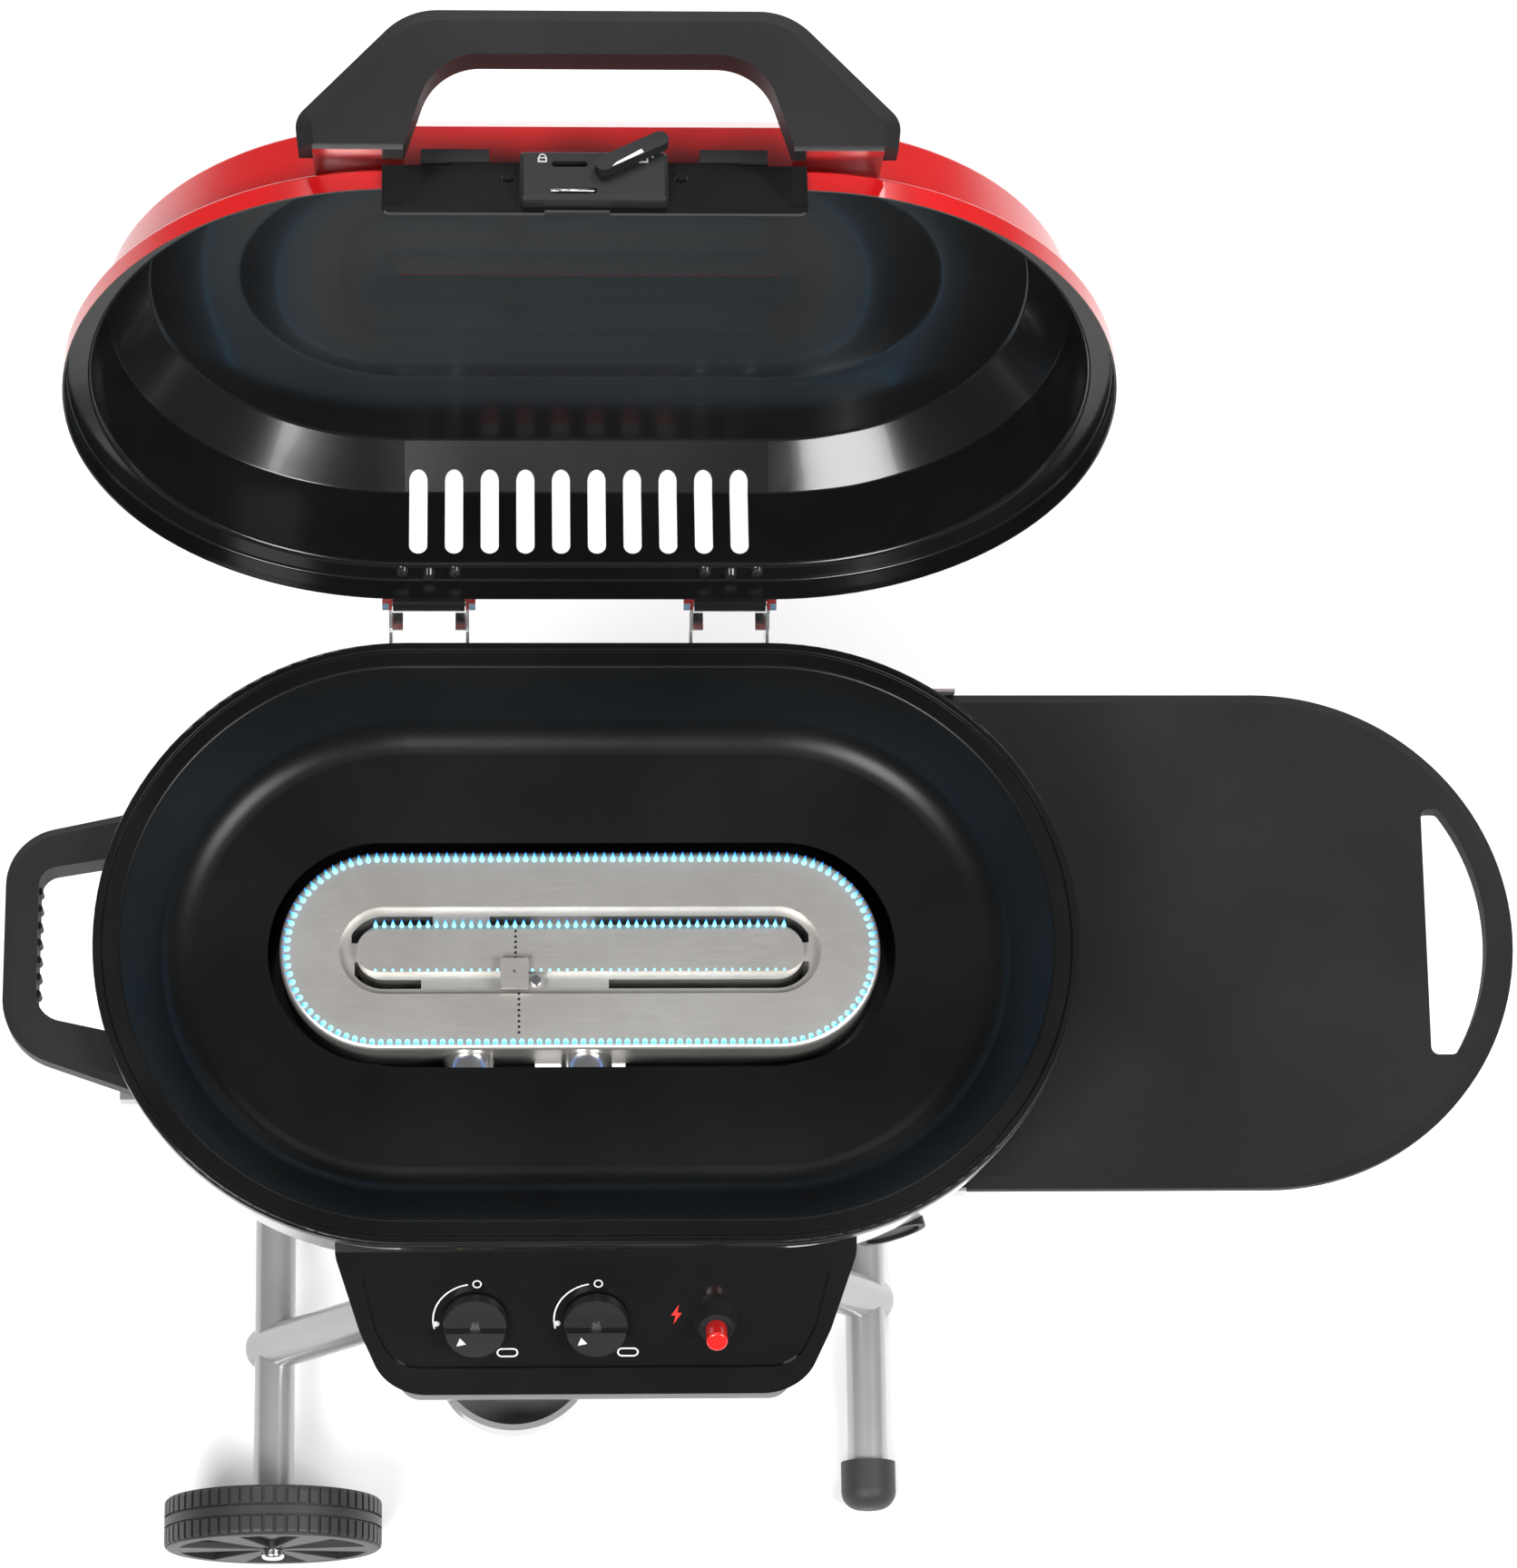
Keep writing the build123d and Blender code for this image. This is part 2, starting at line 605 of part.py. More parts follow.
# ---------------------------------------------------------------- carry handle, left end
GRIP_OUTLINE = ((-240.0, 96.4), (-355.0, 71.7), (-356.0, -58.0), (-240.0, -98.9))
GRIP_OPENING = ((-230.0, 68.5), (-334.7, 51.1), (-335.2, -40.5), (-230.0, -63.7))
GRIP_LOW, GRIP_HIGH = -53.0, -27.0
ARM_Y = (73.0, -66.0)            # middles of the two arms
FINGERS, FINGER_PITCH, FINGER_Y = 7, 10.7, 7.0
with BuildPart() as carry_handle:
    with BuildSketch(level(GRIP_LOW)):
        with BuildLine():
            FilletPolyline(*GRIP_OUTLINE, radius=[36, 42])
            Line(GRIP_OUTLINE[-1], GRIP_OUTLINE[0])
        make_face()
    extrude(amount=GRIP_HIGH - GRIP_LOW)
    chamfer(carry_handle.edges().group_by(Axis.Z)[-1] + carry_handle.edges().group_by(Axis.Z)[0], 5)
    with BuildSketch(level(GRIP_LOW)):
        with BuildLine():
            FilletPolyline(*GRIP_OPENING, radius=[12, 18])
            Line(GRIP_OPENING[-1], GRIP_OPENING[0])
        make_face()
    extrude(amount=GRIP_HIGH - GRIP_LOW, mode=Mode.SUBTRACT)
    with BuildSketch(level(GRIP_LOW + 7)):
        with Locations((GRIP_OPENING[1][0] - 0.3, FINGER_Y)):
            with GridLocations(0, FINGER_PITCH, 1, FINGERS):
                Circle(2.4)
    extrude(amount=12)
    with BuildSketch(level(-80)):
        SlotOverall(*oval(WALL_R + 0.2))
    extrude(amount=80, mode=Mode.SUBTRACT)
    for arm in ARM_Y:
        with BuildSketch(Plane(origin=at(-300, arm, RIM_Z - 40), x_dir=(0, 1, 0), z_dir=(1, 0, 0))):
            Circle(2.5)
        extrude(amount=40, mode=Mode.SUBTRACT)
carry_handle.part.label = "carry_handle"
export_step(carry_handle.part, "parts/carry_handle.step")

# ---------------------------------------------------------------- lid, in the frame that swings with it
lid_up = Vector(0, sin(radians(OPEN)), cos(radians(OPEN)))
lid_back = Vector(0, cos(radians(OPEN)), -sin(radians(OPEN)))
PIN = Vector(*at(0, PIN_Y, RIM_Z + PIN_UP))
LID = Plane(origin=PIN - lid_back * PIN_Y - lid_up * PIN_UP, x_dir=(1, 0, 0), z_dir=lid_up)


def lid_level(height):
    """A plane of the lid that is horizontal when the lid is shut."""
    return LID.offset(height)


def lid_front(y, height=0.0, x=0.0):
    """A plane of the lid that faces the front when the lid is shut."""
    return Plane(origin=LID.from_local_coords(Vector(x, y, height)), x_dir=(1, 0, 0), z_dir=-lid_back)


lid_section = sheet_section(
    [
        (LID_R, LID_FOOT), (LID_R, LIP_H), (WALL_FOOT, LIP_H), SHOULDER, CROWN, (96, LID_H - 3), (0.5, LID_H),
    ],
    [3, 2, 4, 5, 40],
    SHEET,
    Side.LEFT,
)
lid_pressing = pressing(lid_section, LID)

with BuildPart() as lid_shell:
    add(lid_pressing)
    with BuildSketch(lid_level(LID_H - 1.1)):
        Rectangle(2 * STRAIGHT, 1.2)
    extrude(amount=1)
    vent_place = LID.from_local_coords(Vector(0, 100, 0))
    with BuildSketch(Plane(origin=vent_place, x_dir=(-1, 0, 0), z_dir=lid_back)):
        with Locations((5, VENT_FOOT + VENT_H / 2)):
            with GridLocations(VENT_PITCH, 0, VENTS, 1):
                SlotOverall(VENT_H, VENT_W, rotation=90)
    extrude(amount=110, mode=Mode.SUBTRACT)
    with BuildSketch(lid_level(0)):
        for x in HINGE_X:
            for dx, back in HINGE_HOLES:
                with Locations((x + dx, back)):
                    Circle(HINGE_SCREW_R)
    extrude(amount=LIP_H + 2, mode=Mode.SUBTRACT)
lid_shell.part.label = "lid_shell"
export_step(lid_shell.part, "parts/lid_shell.step")

ARCH_LEAN = 23.0
arch_up = lid_up * cos(radians(ARCH_LEAN)) - lid_back * sin(radians(ARCH_LEAN))
arch_out = -lid_back * cos(radians(ARCH_LEAN)) - lid_up * sin(radians(ARCH_LEAN))
ARCH = Plane(origin=LID.from_local_coords(Vector(1.6, -212, 10)), x_dir=(1, 0, 0), z_dir=arch_out)
ARCH_T = 28.0
ARCH_BEVEL = 9.0
ARCH_OUTLINE = ((-166, 0), (-168, 17), (-106, 80), (106, 80), (168, 17), (166, 0))
ARCH_OPENING = ((-108, -1), (-90, 52), (90, 52), (108, -1))
with BuildPart() as lid_handle:
    with BuildSketch(ARCH.offset(-ARCH_T / 2)):
        with BuildLine():
            FilletPolyline(*ARCH_OUTLINE, radius=[14, 40, 40, 14])
            Line(ARCH_OUTLINE[-1], ARCH_OUTLINE[0])
        make_face()
    extrude(amount=ARCH_T)
    arch_front = lid_handle.faces().sort_by(Axis(ARCH.origin, arch_out))[-1]
    arch_rim = arch_front.outer_wire().edges().filter_by(lambda edge: edge.length < ARCH_OUTLINE[-1][0])
    chamfer(arch_rim, ARCH_BEVEL)
    with BuildSketch(ARCH.offset(-ARCH_T / 2)):
        with BuildLine():
            FilletPolyline(*ARCH_OPENING, radius=[34, 34])
            Line(ARCH_OPENING[-1], ARCH_OPENING[0])
        make_face()
    extrude(amount=ARCH_T, mode=Mode.SUBTRACT)
lid_handle.part.label = "lid_handle"
export_step(lid_handle.part, "parts/lid_handle.step")

FOOT_X = 133.0
UNDER_ARCH = Plane(origin=ARCH.origin, x_dir=(1, 0, 0), z_dir=arch_up)
with BuildPart() as handle_brackets:
    with BuildSketch(UNDER_ARCH):
        for side in (1, -1):
            with Locations((side * FOOT_X, 16)):
                Rectangle(50, 52)
    extrude(amount=-2)
    with BuildSketch(lid_level(LID_FOOT - 2)):
        SlotOverall(*oval(LID_R + 0.05))
    extrude(amount=LIP_H - LID_FOOT + 2.05, mode=Mode.SUBTRACT)
    with BuildSketch(lid_level(0)):
        SlotOverall(*oval(WALL_FOOT + 0.1))
    extrude(amount=60, mode=Mode.SUBTRACT)
handle_brackets.part.label = "handle_brackets"
export_step(handle_brackets.part, "parts/handle_brackets.step")

PLATE_X = -0.4
with BuildPart() as latch_plate:
    with BuildSketch(lid_front(-LID_R - 0.4)) as plate:
        with Locations((PLATE_X, -5)):
            Rectangle(236, 34)
        fillet(plate.vertices().group_by(Axis(LID.origin, lid_up))[0], 5)
        with Locations((PLATE_X - 10, -22)):
            Rectangle(36, 4, mode=Mode.SUBTRACT)
    extrude(amount=2)
    with BuildSketch(lid_level(LIP_H + 0.1)):
        with Locations((PLATE_X, -LID_R + 6.6)):
            Rectangle(160, 18)
    extrude(amount=2)
    with BuildSketch(lid_level(LIP_H - 2)):
        SlotOverall(*oval(WALL_FOOT + 2.3))
    extrude(amount=8, mode=Mode.SUBTRACT)
    with BuildSketch(lid_front(-LID_R - 3)):
        with GridLocations(96, 1, 2, 1):
            with Locations((PLATE_X, 4)):
                Circle(2)
    extrude(amount=6, both=True, mode=Mode.SUBTRACT)
latch_plate.part.label = "latch_plate"
export_step(latch_plate.part, "parts/latch_plate.step")

with BuildPart() as latch_rivets:
    with BuildSketch(lid_front(-LID_R - 2.4)):
        with GridLocations(96, 1, 2, 1):
            with Locations((PLATE_X, 4)):
                Circle(3.4)
    extrude(amount=1.4)
    with BuildSketch(lid_front(-LID_R)):
        with GridLocations(96, 1, 2, 1):
            with Locations((PLATE_X, 4)):
                Circle(2)
    extrude(amount=2.4)
latch_rivets.part.label = "latch_rivets"
export_step(latch_rivets.part, "parts/latch_rivets.step")

HOUSING_FRONT = -LID_R - 11.0
LEVER_X, LEVER_Z = 7.0, 3.0
with BuildPart() as latch_housing:
    with BuildSketch(lid_front(-LID_R - 2.5)):
        with Locations((PLATE_X - 0.6, -1)):
            RectangleRounded(82, 34, 3)
    extrude(amount=-LID_R - 2.5 - HOUSING_FRONT)
    chamfer(latch_housing.faces().sort_by(Axis(LID.origin, -lid_back))[-1].outer_wire().edges(), 2)
    with BuildSketch(lid_front(HOUSING_FRONT)):
        with Locations((PLATE_X - 12, -13)):
            SlotOverall(26, 4)
    extrude(amount=-4, mode=Mode.SUBTRACT)
    with BuildSketch(lid_front(HOUSING_FRONT)):
        with Locations((PLATE_X - 14, 6)):
            SlotOverall(20, 4)
    extrude(amount=-4, mode=Mode.SUBTRACT)
    with BuildSketch(lid_front(HOUSING_FRONT)):
        with Locations((LEVER_X, LEVER_Z)):
            Circle(4.05)
    extrude(amount=-6, mode=Mode.SUBTRACT)
latch_housing.part.label = "latch_housing"
export_step(latch_housing.part, "parts/latch_housing.step")

LEVER_TILT = 30.0
with BuildPart() as latch_lever:
    with BuildSketch(lid_front(HOUSING_FRONT - 0.4)):
        with Locations(Location((LEVER_X, LEVER_Z, 0), (0, 0, LEVER_TILT))):
            with Locations((15, 0)):
                SlotOverall(46, 10)
    extrude(amount=6)
    with BuildSketch(lid_front(HOUSING_FRONT + 5)):
        with Locations((LEVER_X, LEVER_Z)):
            Circle(4)
    extrude(amount=5.4)
latch_lever.part.label = "latch_lever"
export_step(latch_lever.part, "parts/latch_lever.step")

with BuildPart() as latch_supports:
    with BuildSketch(lid_level(LIP_H + 2.1)):
        for x in (-78, 77):
            with Locations((x, -LID_R + 6)):
                Rectangle(38, 18)
    extrude(amount=9)
    with BuildSketch(lid_level(LIP_H)):
        SlotOverall(*oval(WALL_FOOT + 0.1))
    extrude(amount=30, mode=Mode.SUBTRACT)
latch_supports.part.label = "latch_supports"
export_step(latch_supports.part, "parts/latch_supports.step")

# ---------------------------------------------------------------- hinges
BARREL_R = 6.0


def hinge_leaf(x):
    """The lid's leaf: a barrel rolled round the pin and a strip up the lid's back."""
    axis_plane = Plane(origin=PIN + Vector(x - BARREL / 2, 0, 0), x_dir=lid_back, z_dir=(1, 0, 0))
    with BuildPart() as leaf:
        with BuildSketch(axis_plane):
            Circle(BARREL_R)
            with Locations((-(PIN_Y - WALL_FOOT - 1) / 2, LIP_H + 1.05 - PIN_UP)):
                Rectangle(PIN_Y - WALL_FOOT - 1, 2)
            Circle(PIN_R + 0.05, mode=Mode.SUBTRACT)
        extrude(amount=BARREL)
        for dx, back in HINGE_HOLES:
            with BuildSketch(lid_level(0)):
                with Locations((x + dx, back)):
                    Circle(HINGE_SCREW_R)
            extrude(amount=30, mode=Mode.SUBTRACT)
    return leaf.part


hinge_leaf_left = hinge_leaf(HINGE_X[0])
hinge_leaf_left.label = "hinge_leaf_left"
export_step(hinge_leaf_left, "parts/hinge_leaf_left.step")

hinge_leaf_right = hinge_leaf(HINGE_X[1])
hinge_leaf_right.label = "hinge_leaf_right"
export_step(hinge_leaf_right, "parts/hinge_leaf_right.step")

PLATE_GAP = BARREL / 2 + 0.6
with BuildPart() as hinge_plates:
    for x in HINGE_X:
        for side in (1, -1):
            inner = x + side * (PLATE_GAP + 1)
            with BuildSketch(Plane(origin=at(inner - 1, 0, RIM_Z), x_dir=(0, 1, 0), z_dir=(1, 0, 0))):
                with BuildLine():
                    Polyline(
                        (PIN_Y - 7, PIN_UP + 5), (PIN_Y + 7, PIN_UP + 5), (PIN_Y + 7, -18), (RIM_R + 3, -66),
                        (WALL_R + 0.2, -66), (WALL_R + 0.4, -12), (LID_R + 2, -10), (LID_R + 2, 0),
                        (PIN_Y - 7, 2), close=True,
                    )
                make_face()
                with Locations((PIN_Y, PIN_UP)):
                    Circle(PIN_R, mode=Mode.SUBTRACT)
            extrude(amount=2)
            with BuildSketch(across(inner - side * 9, WALL_R + 0.25, RIM_Z - 40)):
                Rectangle(18, 50)
            extrude(amount=2)
            with BuildSketch(Plane(origin=at(inner - side * 4, LID_R + 8, RIM_Z - 8))):
                Rectangle(7, 11)
            extrude(amount=2)
hinge_plates.part.label = "hinge_plates"
export_step(hinge_plates.part, "parts/hinge_plates.step")

with BuildPart() as hinge_bolts:
    for x in HINGE_X:
        end = PLATE_GAP + 2
        with BuildSketch(Plane(origin=PIN + Vector(x - end, 0, 0), x_dir=(0, 1, 0), z_dir=(1, 0, 0))):
            Circle(PIN_R)
        extrude(amount=2 * end)
        for side in (1, -1):
            head_place = PIN + Vector(x + side * end, 0, 0)
            with BuildSketch(Plane(origin=head_place, x_dir=(0, 1, 0), z_dir=(side, 0, 0))):
                RegularPolygon(5.5, 6)
            extrude(amount=4)
hinge_bolts.part.label = "hinge_bolts"
export_step(hinge_bolts.part, "parts/hinge_bolts.step")

with BuildPart() as hinge_screws:
    for x in HINGE_X:
        for dx, back in HINGE_HOLES:
            with BuildSketch(lid_level(LIP_H - SHEET - 2.4)):
                with Locations((x + dx, back)):
                    Circle(3.4)
            extrude(amount=2.4)
            with BuildSketch(lid_level(LIP_H - SHEET)):
                with Locations((x + dx, back)):
                    Circle(HINGE_SCREW_R - 0.05)
            extrude(amount=SHEET + 2)
hinge_screws.part.label = "hinge_screws"
export_step(hinge_screws.part, "parts/hinge_screws.step")

# ---------------------------------------------------------------- side table and its carriers
END_R = TABLE_W / 2
with BuildPart() as side_table:
    with BuildSketch(level(TABLE_TOP - TABLE_T)) as board:
        with Locations(((TABLE_LEFT + TABLE_RIGHT - END_R) / 2, TABLE_Y)):
            Rectangle(TABLE_RIGHT - END_R - TABLE_LEFT, TABLE_W)
        with Locations((TABLE_RIGHT - END_R, TABLE_Y)):
            Circle(END_R)
        fillet(board.vertices().group_by(Axis.X)[0], 12)
    extrude(amount=TABLE_T)
    chamfer(side_table.faces().sort_by(Axis.Z)[-1].outer_wire().edges(), 7)
    with BuildSketch(level(TABLE_TOP - TABLE_T - 1)) as slot:
        with Locations((TABLE_RIGHT - END_R, TABLE_Y)):
            Circle(END_R - 18)
        with Locations((TABLE_RIGHT - END_R, TABLE_Y + 3)):
            Rectangle(4 * END_R, 159, mode=Mode.INTERSECT)
        with Locations((TABLE_RIGHT - 56 - END_R, TABLE_Y)):
            Rectangle(2 * END_R, TABLE_W, mode=Mode.SUBTRACT)
        fillet(slot.vertices(), 5)
    extrude(amount=TABLE_T + 2, mode=Mode.SUBTRACT)
side_table.part.label = "side_table"
export_step(side_table.part, "parts/side_table.step")

RAIL_BASE = TABLE_TOP - TABLE_T - 0.3 - 2.5
CARRIER_BASE = RAIL_BASE - 3.0
TRACK_TOP = CARRIER_BASE
TRACK_BOTTOM = PIVOT_Z + TOP_R + 0.5 - RIM_Z
RAIL_LEFT, RAIL_RIGHT = -140.0, 235.0


def table_rail(edge, inward):
    """An angle along one edge of the table: a foot under it and a wall beside it."""
    with BuildPart() as rail:
        rail_start = at(RAIL_LEFT, edge, RIM_Z)
        with BuildSketch(Plane(origin=rail_start, x_dir=(0, inward, 0), z_dir=(inward, 0, 0))):
            with BuildLine():
                Polyline(
                    (-2.3, RAIL_BASE), (18, RAIL_BASE), (18, RAIL_BASE + 2.5), (-0.3, RAIL_BASE + 2.5),
                    (-0.3, TABLE_TOP), (-2.3, TABLE_TOP), close=True,
                )
            make_face()
        extrude(amount=inward * (RAIL_RIGHT - RAIL_LEFT))
    return rail.part


table_rail_front = table_rail(TABLE_Y - TABLE_W / 2, 1)
table_rail_front.label = "table_rail_front"
export_step(table_rail_front, "parts/table_rail_front.step")

table_rail_rear = table_rail(TABLE_Y + TABLE_W / 2, -1)
table_rail_rear.label = "table_rail_rear"
export_step(table_rail_rear, "parts/table_rail_rear.step")

CARRIER_X = (-125.0, WHEEL_TOP)
FRONT_STRAP, REAR_STRAP = -148.5, 192.8
with BuildPart() as carriers:
    for x in CARRIER_X:
        with BuildSketch(Plane(origin=at(x - 11, 0, RIM_Z), x_dir=(0, 1, 0), z_dir=(1, 0, 0))):
            with BuildLine():
                Polyline(
                    (FRONT_STRAP + 45, -FLOOR_DROP - 0.05), (FRONT_STRAP, -FLOOR_DROP - 0.05),
                    (FRONT_STRAP, CARRIER_BASE), (REAR_STRAP, CARRIER_BASE),
                    (REAR_STRAP, -FLOOR_DROP - 0.05), (REAR_STRAP - 80, -FLOOR_DROP - 0.05),
                )
                offset(amount=3, side=Side.LEFT)
            make_face()
        extrude(amount=22)
carriers.part.label = "carriers"
export_step(carriers.part, "parts/carriers.step")

TRACK_Y = 64.0
with BuildPart() as leg_tracks:
    with BuildSketch(level(TRACK_BOTTOM)):
        for side in (1, -1):
            with Locations(((-290 + 60) / 2, side * TRACK_Y)):
                Rectangle(350, 14)
    extrude(amount=TRACK_TOP - TRACK_BOTTOM)
leg_tracks.part.label = "leg_tracks"
export_step(leg_tracks.part, "parts/leg_tracks.step")

with BuildPart() as pivot_brackets:
    for side in (1, -1):
        with BuildSketch(across(0, side * 48 - 9, 0)):
            with Locations((WHEEL_TOP, -PIVOT_Z)):
                Circle(17)
                with Locations((0, -(RIM_Z + TRACK_TOP - PIVOT_Z) / 2)):
                    Rectangle(34, RIM_Z + TRACK_TOP - PIVOT_Z)
                Circle(TOP_R + 0.05, mode=Mode.SUBTRACT)
        extrude(amount=18)
pivot_brackets.part.label = "pivot_brackets"
export_step(pivot_brackets.part, "parts/pivot_brackets.step")


# ---------------------------------------------------------------- scissor stand
def leg(y, foot, top_x):
    """A leg tube, closed and rounded past the floor tube that runs through its lower end."""
    run_x, run_z = foot[0] - top_x, foot[1] - PIVOT_Z
    length = hypot(run_x, run_z)
    down = Vector(run_x / length, 0, run_z / length)
    start = Plane(origin=Vector(*at(top_x, y, PIVOT_Z)) - down * LEG_ABOVE, x_dir=(0, 1, 0), z_dir=down)
    with BuildPart() as tube:
        with BuildSketch(start):
            Circle(LEG_R)
        extrude(amount=length + LEG_ABOVE + LEG_BELOW)
        fillet(tube.edges().filter_by(GeomType.CIRCLE), LEG_ROUND)
        with BuildSketch(start.offset(2 * LEG_ABOVE)):
            Circle(LEG_R - LEG_WALL)
        extrude(amount=length - LEG_ABOVE - LEG_BELOW, mode=Mode.SUBTRACT)
        for hole_x, hole_z, radius in ((*foot, TUBE_R), (top_x, PIVOT_Z, TOP_R), (*CROSS, BOLT_BORE)):
            with BuildSketch(across(hole_x, y - 20, hole_z)):
                Circle(radius)
            extrude(amount=40, mode=Mode.SUBTRACT)
        with BuildSketch(Plane(origin=at(foot[0], y, -40))):
            Rectangle(120, 60)
        extrude(amount=42, mode=Mode.SUBTRACT)
    return tube.part


wheel_leg_front = leg(-WHEEL_LEG_Y, WHEEL_TUBE, WHEEL_TOP)
wheel_leg_front.label = "wheel_leg_front"
export_step(wheel_leg_front, "parts/wheel_leg_front.step")

wheel_leg_rear = leg(WHEEL_LEG_Y, WHEEL_TUBE, WHEEL_TOP)
wheel_leg_rear.label = "wheel_leg_rear"
export_step(wheel_leg_rear, "parts/wheel_leg_rear.step")

foot_leg_front = leg(-FOOT_LEG_Y, FOOT_TUBE, FOOT_TOP)
foot_leg_front.label = "foot_leg_front"
export_step(foot_leg_front, "parts/foot_leg_front.step")

foot_leg_rear = leg(FOOT_LEG_Y, FOOT_TUBE, FOOT_TOP)
foot_leg_rear.label = "foot_leg_rear"
export_step(foot_leg_rear, "parts/foot_leg_rear.step")


def cross_tube(x, z, radius, half, bore):
    """A tube that runs from front to back."""
    with BuildPart() as tube:
        with BuildSketch(across(x, -half, z)):
            Circle(radius)
            Circle(bore, mode=Mode.SUBTRACT)
        extrude(amount=2 * half)
    return tube.part


wheel_floor_tube = cross_tube(*WHEEL_TUBE, TUBE_R, TUBE_END, AXLE_R)
wheel_floor_tube.label = "wheel_floor_tube"
export_step(wheel_floor_tube, "parts/wheel_floor_tube.step")

foot_floor_tube = cross_tube(*FOOT_TUBE, TUBE_R, FOOT_END, TUBE_R - 1.5)
foot_floor_tube.label = "foot_floor_tube"
export_step(foot_floor_tube, "parts/foot_floor_tube.step")

wheel_top_tube = cross_tube(WHEEL_TOP, PIVOT_Z, TOP_R, WHEEL_LEG_Y + 14, TOP_R - 1.5)
wheel_top_tube.label = "wheel_top_tube"
export_step(wheel_top_tube, "parts/wheel_top_tube.step")

foot_top_tube = cross_tube(FOOT_TOP, PIVOT_Z, TOP_R, FOOT_LEG_Y + 14, TOP_R - 1.5)
foot_top_tube.label = "foot_top_tube"
export_step(foot_top_tube, "parts/foot_top_tube.step")

with BuildPart() as scissor_bolts:
    for side in (1, -1):
        near = FOOT_LEG_Y - LEG_R - 2
        far = WHEEL_LEG_Y + LEG_R + 0.3
        with BuildSketch(across(CROSS[0], side * near, CROSS[1], side)):
            Circle(4)
        extrude(amount=far - near)
        with BuildSketch(across(CROSS[0], side * far, CROSS[1], side)):
            RegularPolygon(7.5, 6)
        extrude(amount=5)
        with BuildSketch(across(CROSS[0], side * (FOOT_LEG_Y + LEG_R + 0.3), CROSS[1], side)):
            Circle(11)
        extrude(amount=WHEEL_LEG_Y - FOOT_LEG_Y - 2 * LEG_R - 0.6)
        with BuildSketch(across(CROSS[0], side * near, CROSS[1], -side)):
            RegularPolygon(7.5, 6)
        extrude(amount=5)
scissor_bolts.part.label = "scissor_bolts"
export_step(scissor_bolts.part, "parts/scissor_bolts.step")

CAP_START, CAP_LONG = 212.0, 34.0
with BuildPart() as foot_caps:
    for side in (1, -1):
        with BuildSketch(across(FOOT_TUBE[0], side * CAP_START, FOOT_TUBE[1], side)):
            Circle(FOOT_TUBE[1])
        extrude(amount=CAP_LONG)
    fillet(foot_caps.edges().group_by(Axis.Y)[0] + foot_caps.edges().group_by(Axis.Y)[-1], 13)
    with BuildSketch(across(FOOT_TUBE[0], -FOOT_END, FOOT_TUBE[1])):
        Circle(TUBE_R)
    extrude(amount=2 * FOOT_END, mode=Mode.SUBTRACT)
foot_caps.part.label = "foot_caps"
export_step(foot_caps.part, "parts/foot_caps.step")


def tyre_envelope(out):
    """A wheel's outer form: a disc with rounded shoulders."""
    with BuildPart(mode=Mode.PRIVATE) as disc:
        with BuildSketch(out):
            Circle(WHEEL_R)
        extrude(amount=WHEEL_W)
        fillet(disc.edges(), 4)
    return disc.part


def wheel(side):
    """A ribbed wheel: two rows of tread ribs beside a smooth band, and a dished outer face."""
    out = across(WHEEL_TUBE[0], side * (WHEEL_Y - WHEEL_W / 2), WHEEL_TUBE[1], side)
    with BuildPart() as body:
        with BuildSketch(out):
            Circle(WHEEL_R - 2)
        extrude(amount=WHEEL_W)
        with BuildSketch(out.offset(WHEEL_W / 2 - 3)):
            Circle(WHEEL_R)
        extrude(amount=6)
        for start in (1.5, WHEEL_W / 2 + 4.5):
            with BuildSketch(out.offset(start)):
                with PolarLocations(WHEEL_R - 2.5, RIBS):
                    Rectangle(5, 5.5)
            extrude(amount=WHEEL_W / 2 - 6)
        add(tyre_envelope(out), mode=Mode.INTERSECT)
        for depth in (WHEEL_W - 5, -1):
            with BuildSketch(out.offset(depth)):
                Circle(WHEEL_R - 10)
                Circle(HUB_R, mode=Mode.SUBTRACT)
                with PolarLocations(0, SPOKES, start_angle=30):
                    with BuildLine():
                        Polyline(*SPOKE, close=True)
                    make_face(mode=Mode.SUBTRACT)
            extrude(amount=6, mode=Mode.SUBTRACT)
        with BuildSketch(out.offset(-1)):
            Circle(AXLE_R + 0.05)
        extrude(amount=WHEEL_W + 2, mode=Mode.SUBTRACT)
    return body.part


wheel_front = wheel(-1)
wheel_front.label = "wheel_front"
export_step(wheel_front, "parts/wheel_front.step")

wheel_rear = wheel(1)
wheel_rear.label = "wheel_rear"
export_step(wheel_rear, "parts/wheel_rear.step")

AXLE_END = WHEEL_Y + WHEEL_W / 2 + 4
with BuildPart() as axle:
    with BuildSketch(across(WHEEL_TUBE[0], -AXLE_END, WHEEL_TUBE[1])):
        Circle(AXLE_R)
    extrude(amount=2 * AXLE_END)
axle.part.label = "axle"
export_step(axle.part, "parts/axle.step")

with BuildPart() as axle_caps:
    for side in (1, -1):
        with BuildSketch(across(WHEEL_TUBE[0], side * (AXLE_END - 3), WHEEL_TUBE[1], side)):
            Circle(8)
        extrude(amount=6)
    fillet(axle_caps.edges().group_by(Axis.Y)[0] + axle_caps.edges().group_by(Axis.Y)[-1], 3)
    with BuildSketch(across(WHEEL_TUBE[0], -AXLE_END, WHEEL_TUBE[1])):
        Circle(AXLE_R)
    extrude(amount=2 * AXLE_END, mode=Mode.SUBTRACT)
axle_caps.part.label = "axle_caps"
export_step(axle_caps.part, "parts/axle_caps.step")
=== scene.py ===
import json
from math import cos, pi, radians, sin

import bmesh
import bpy
from mathutils import Matrix, Vector


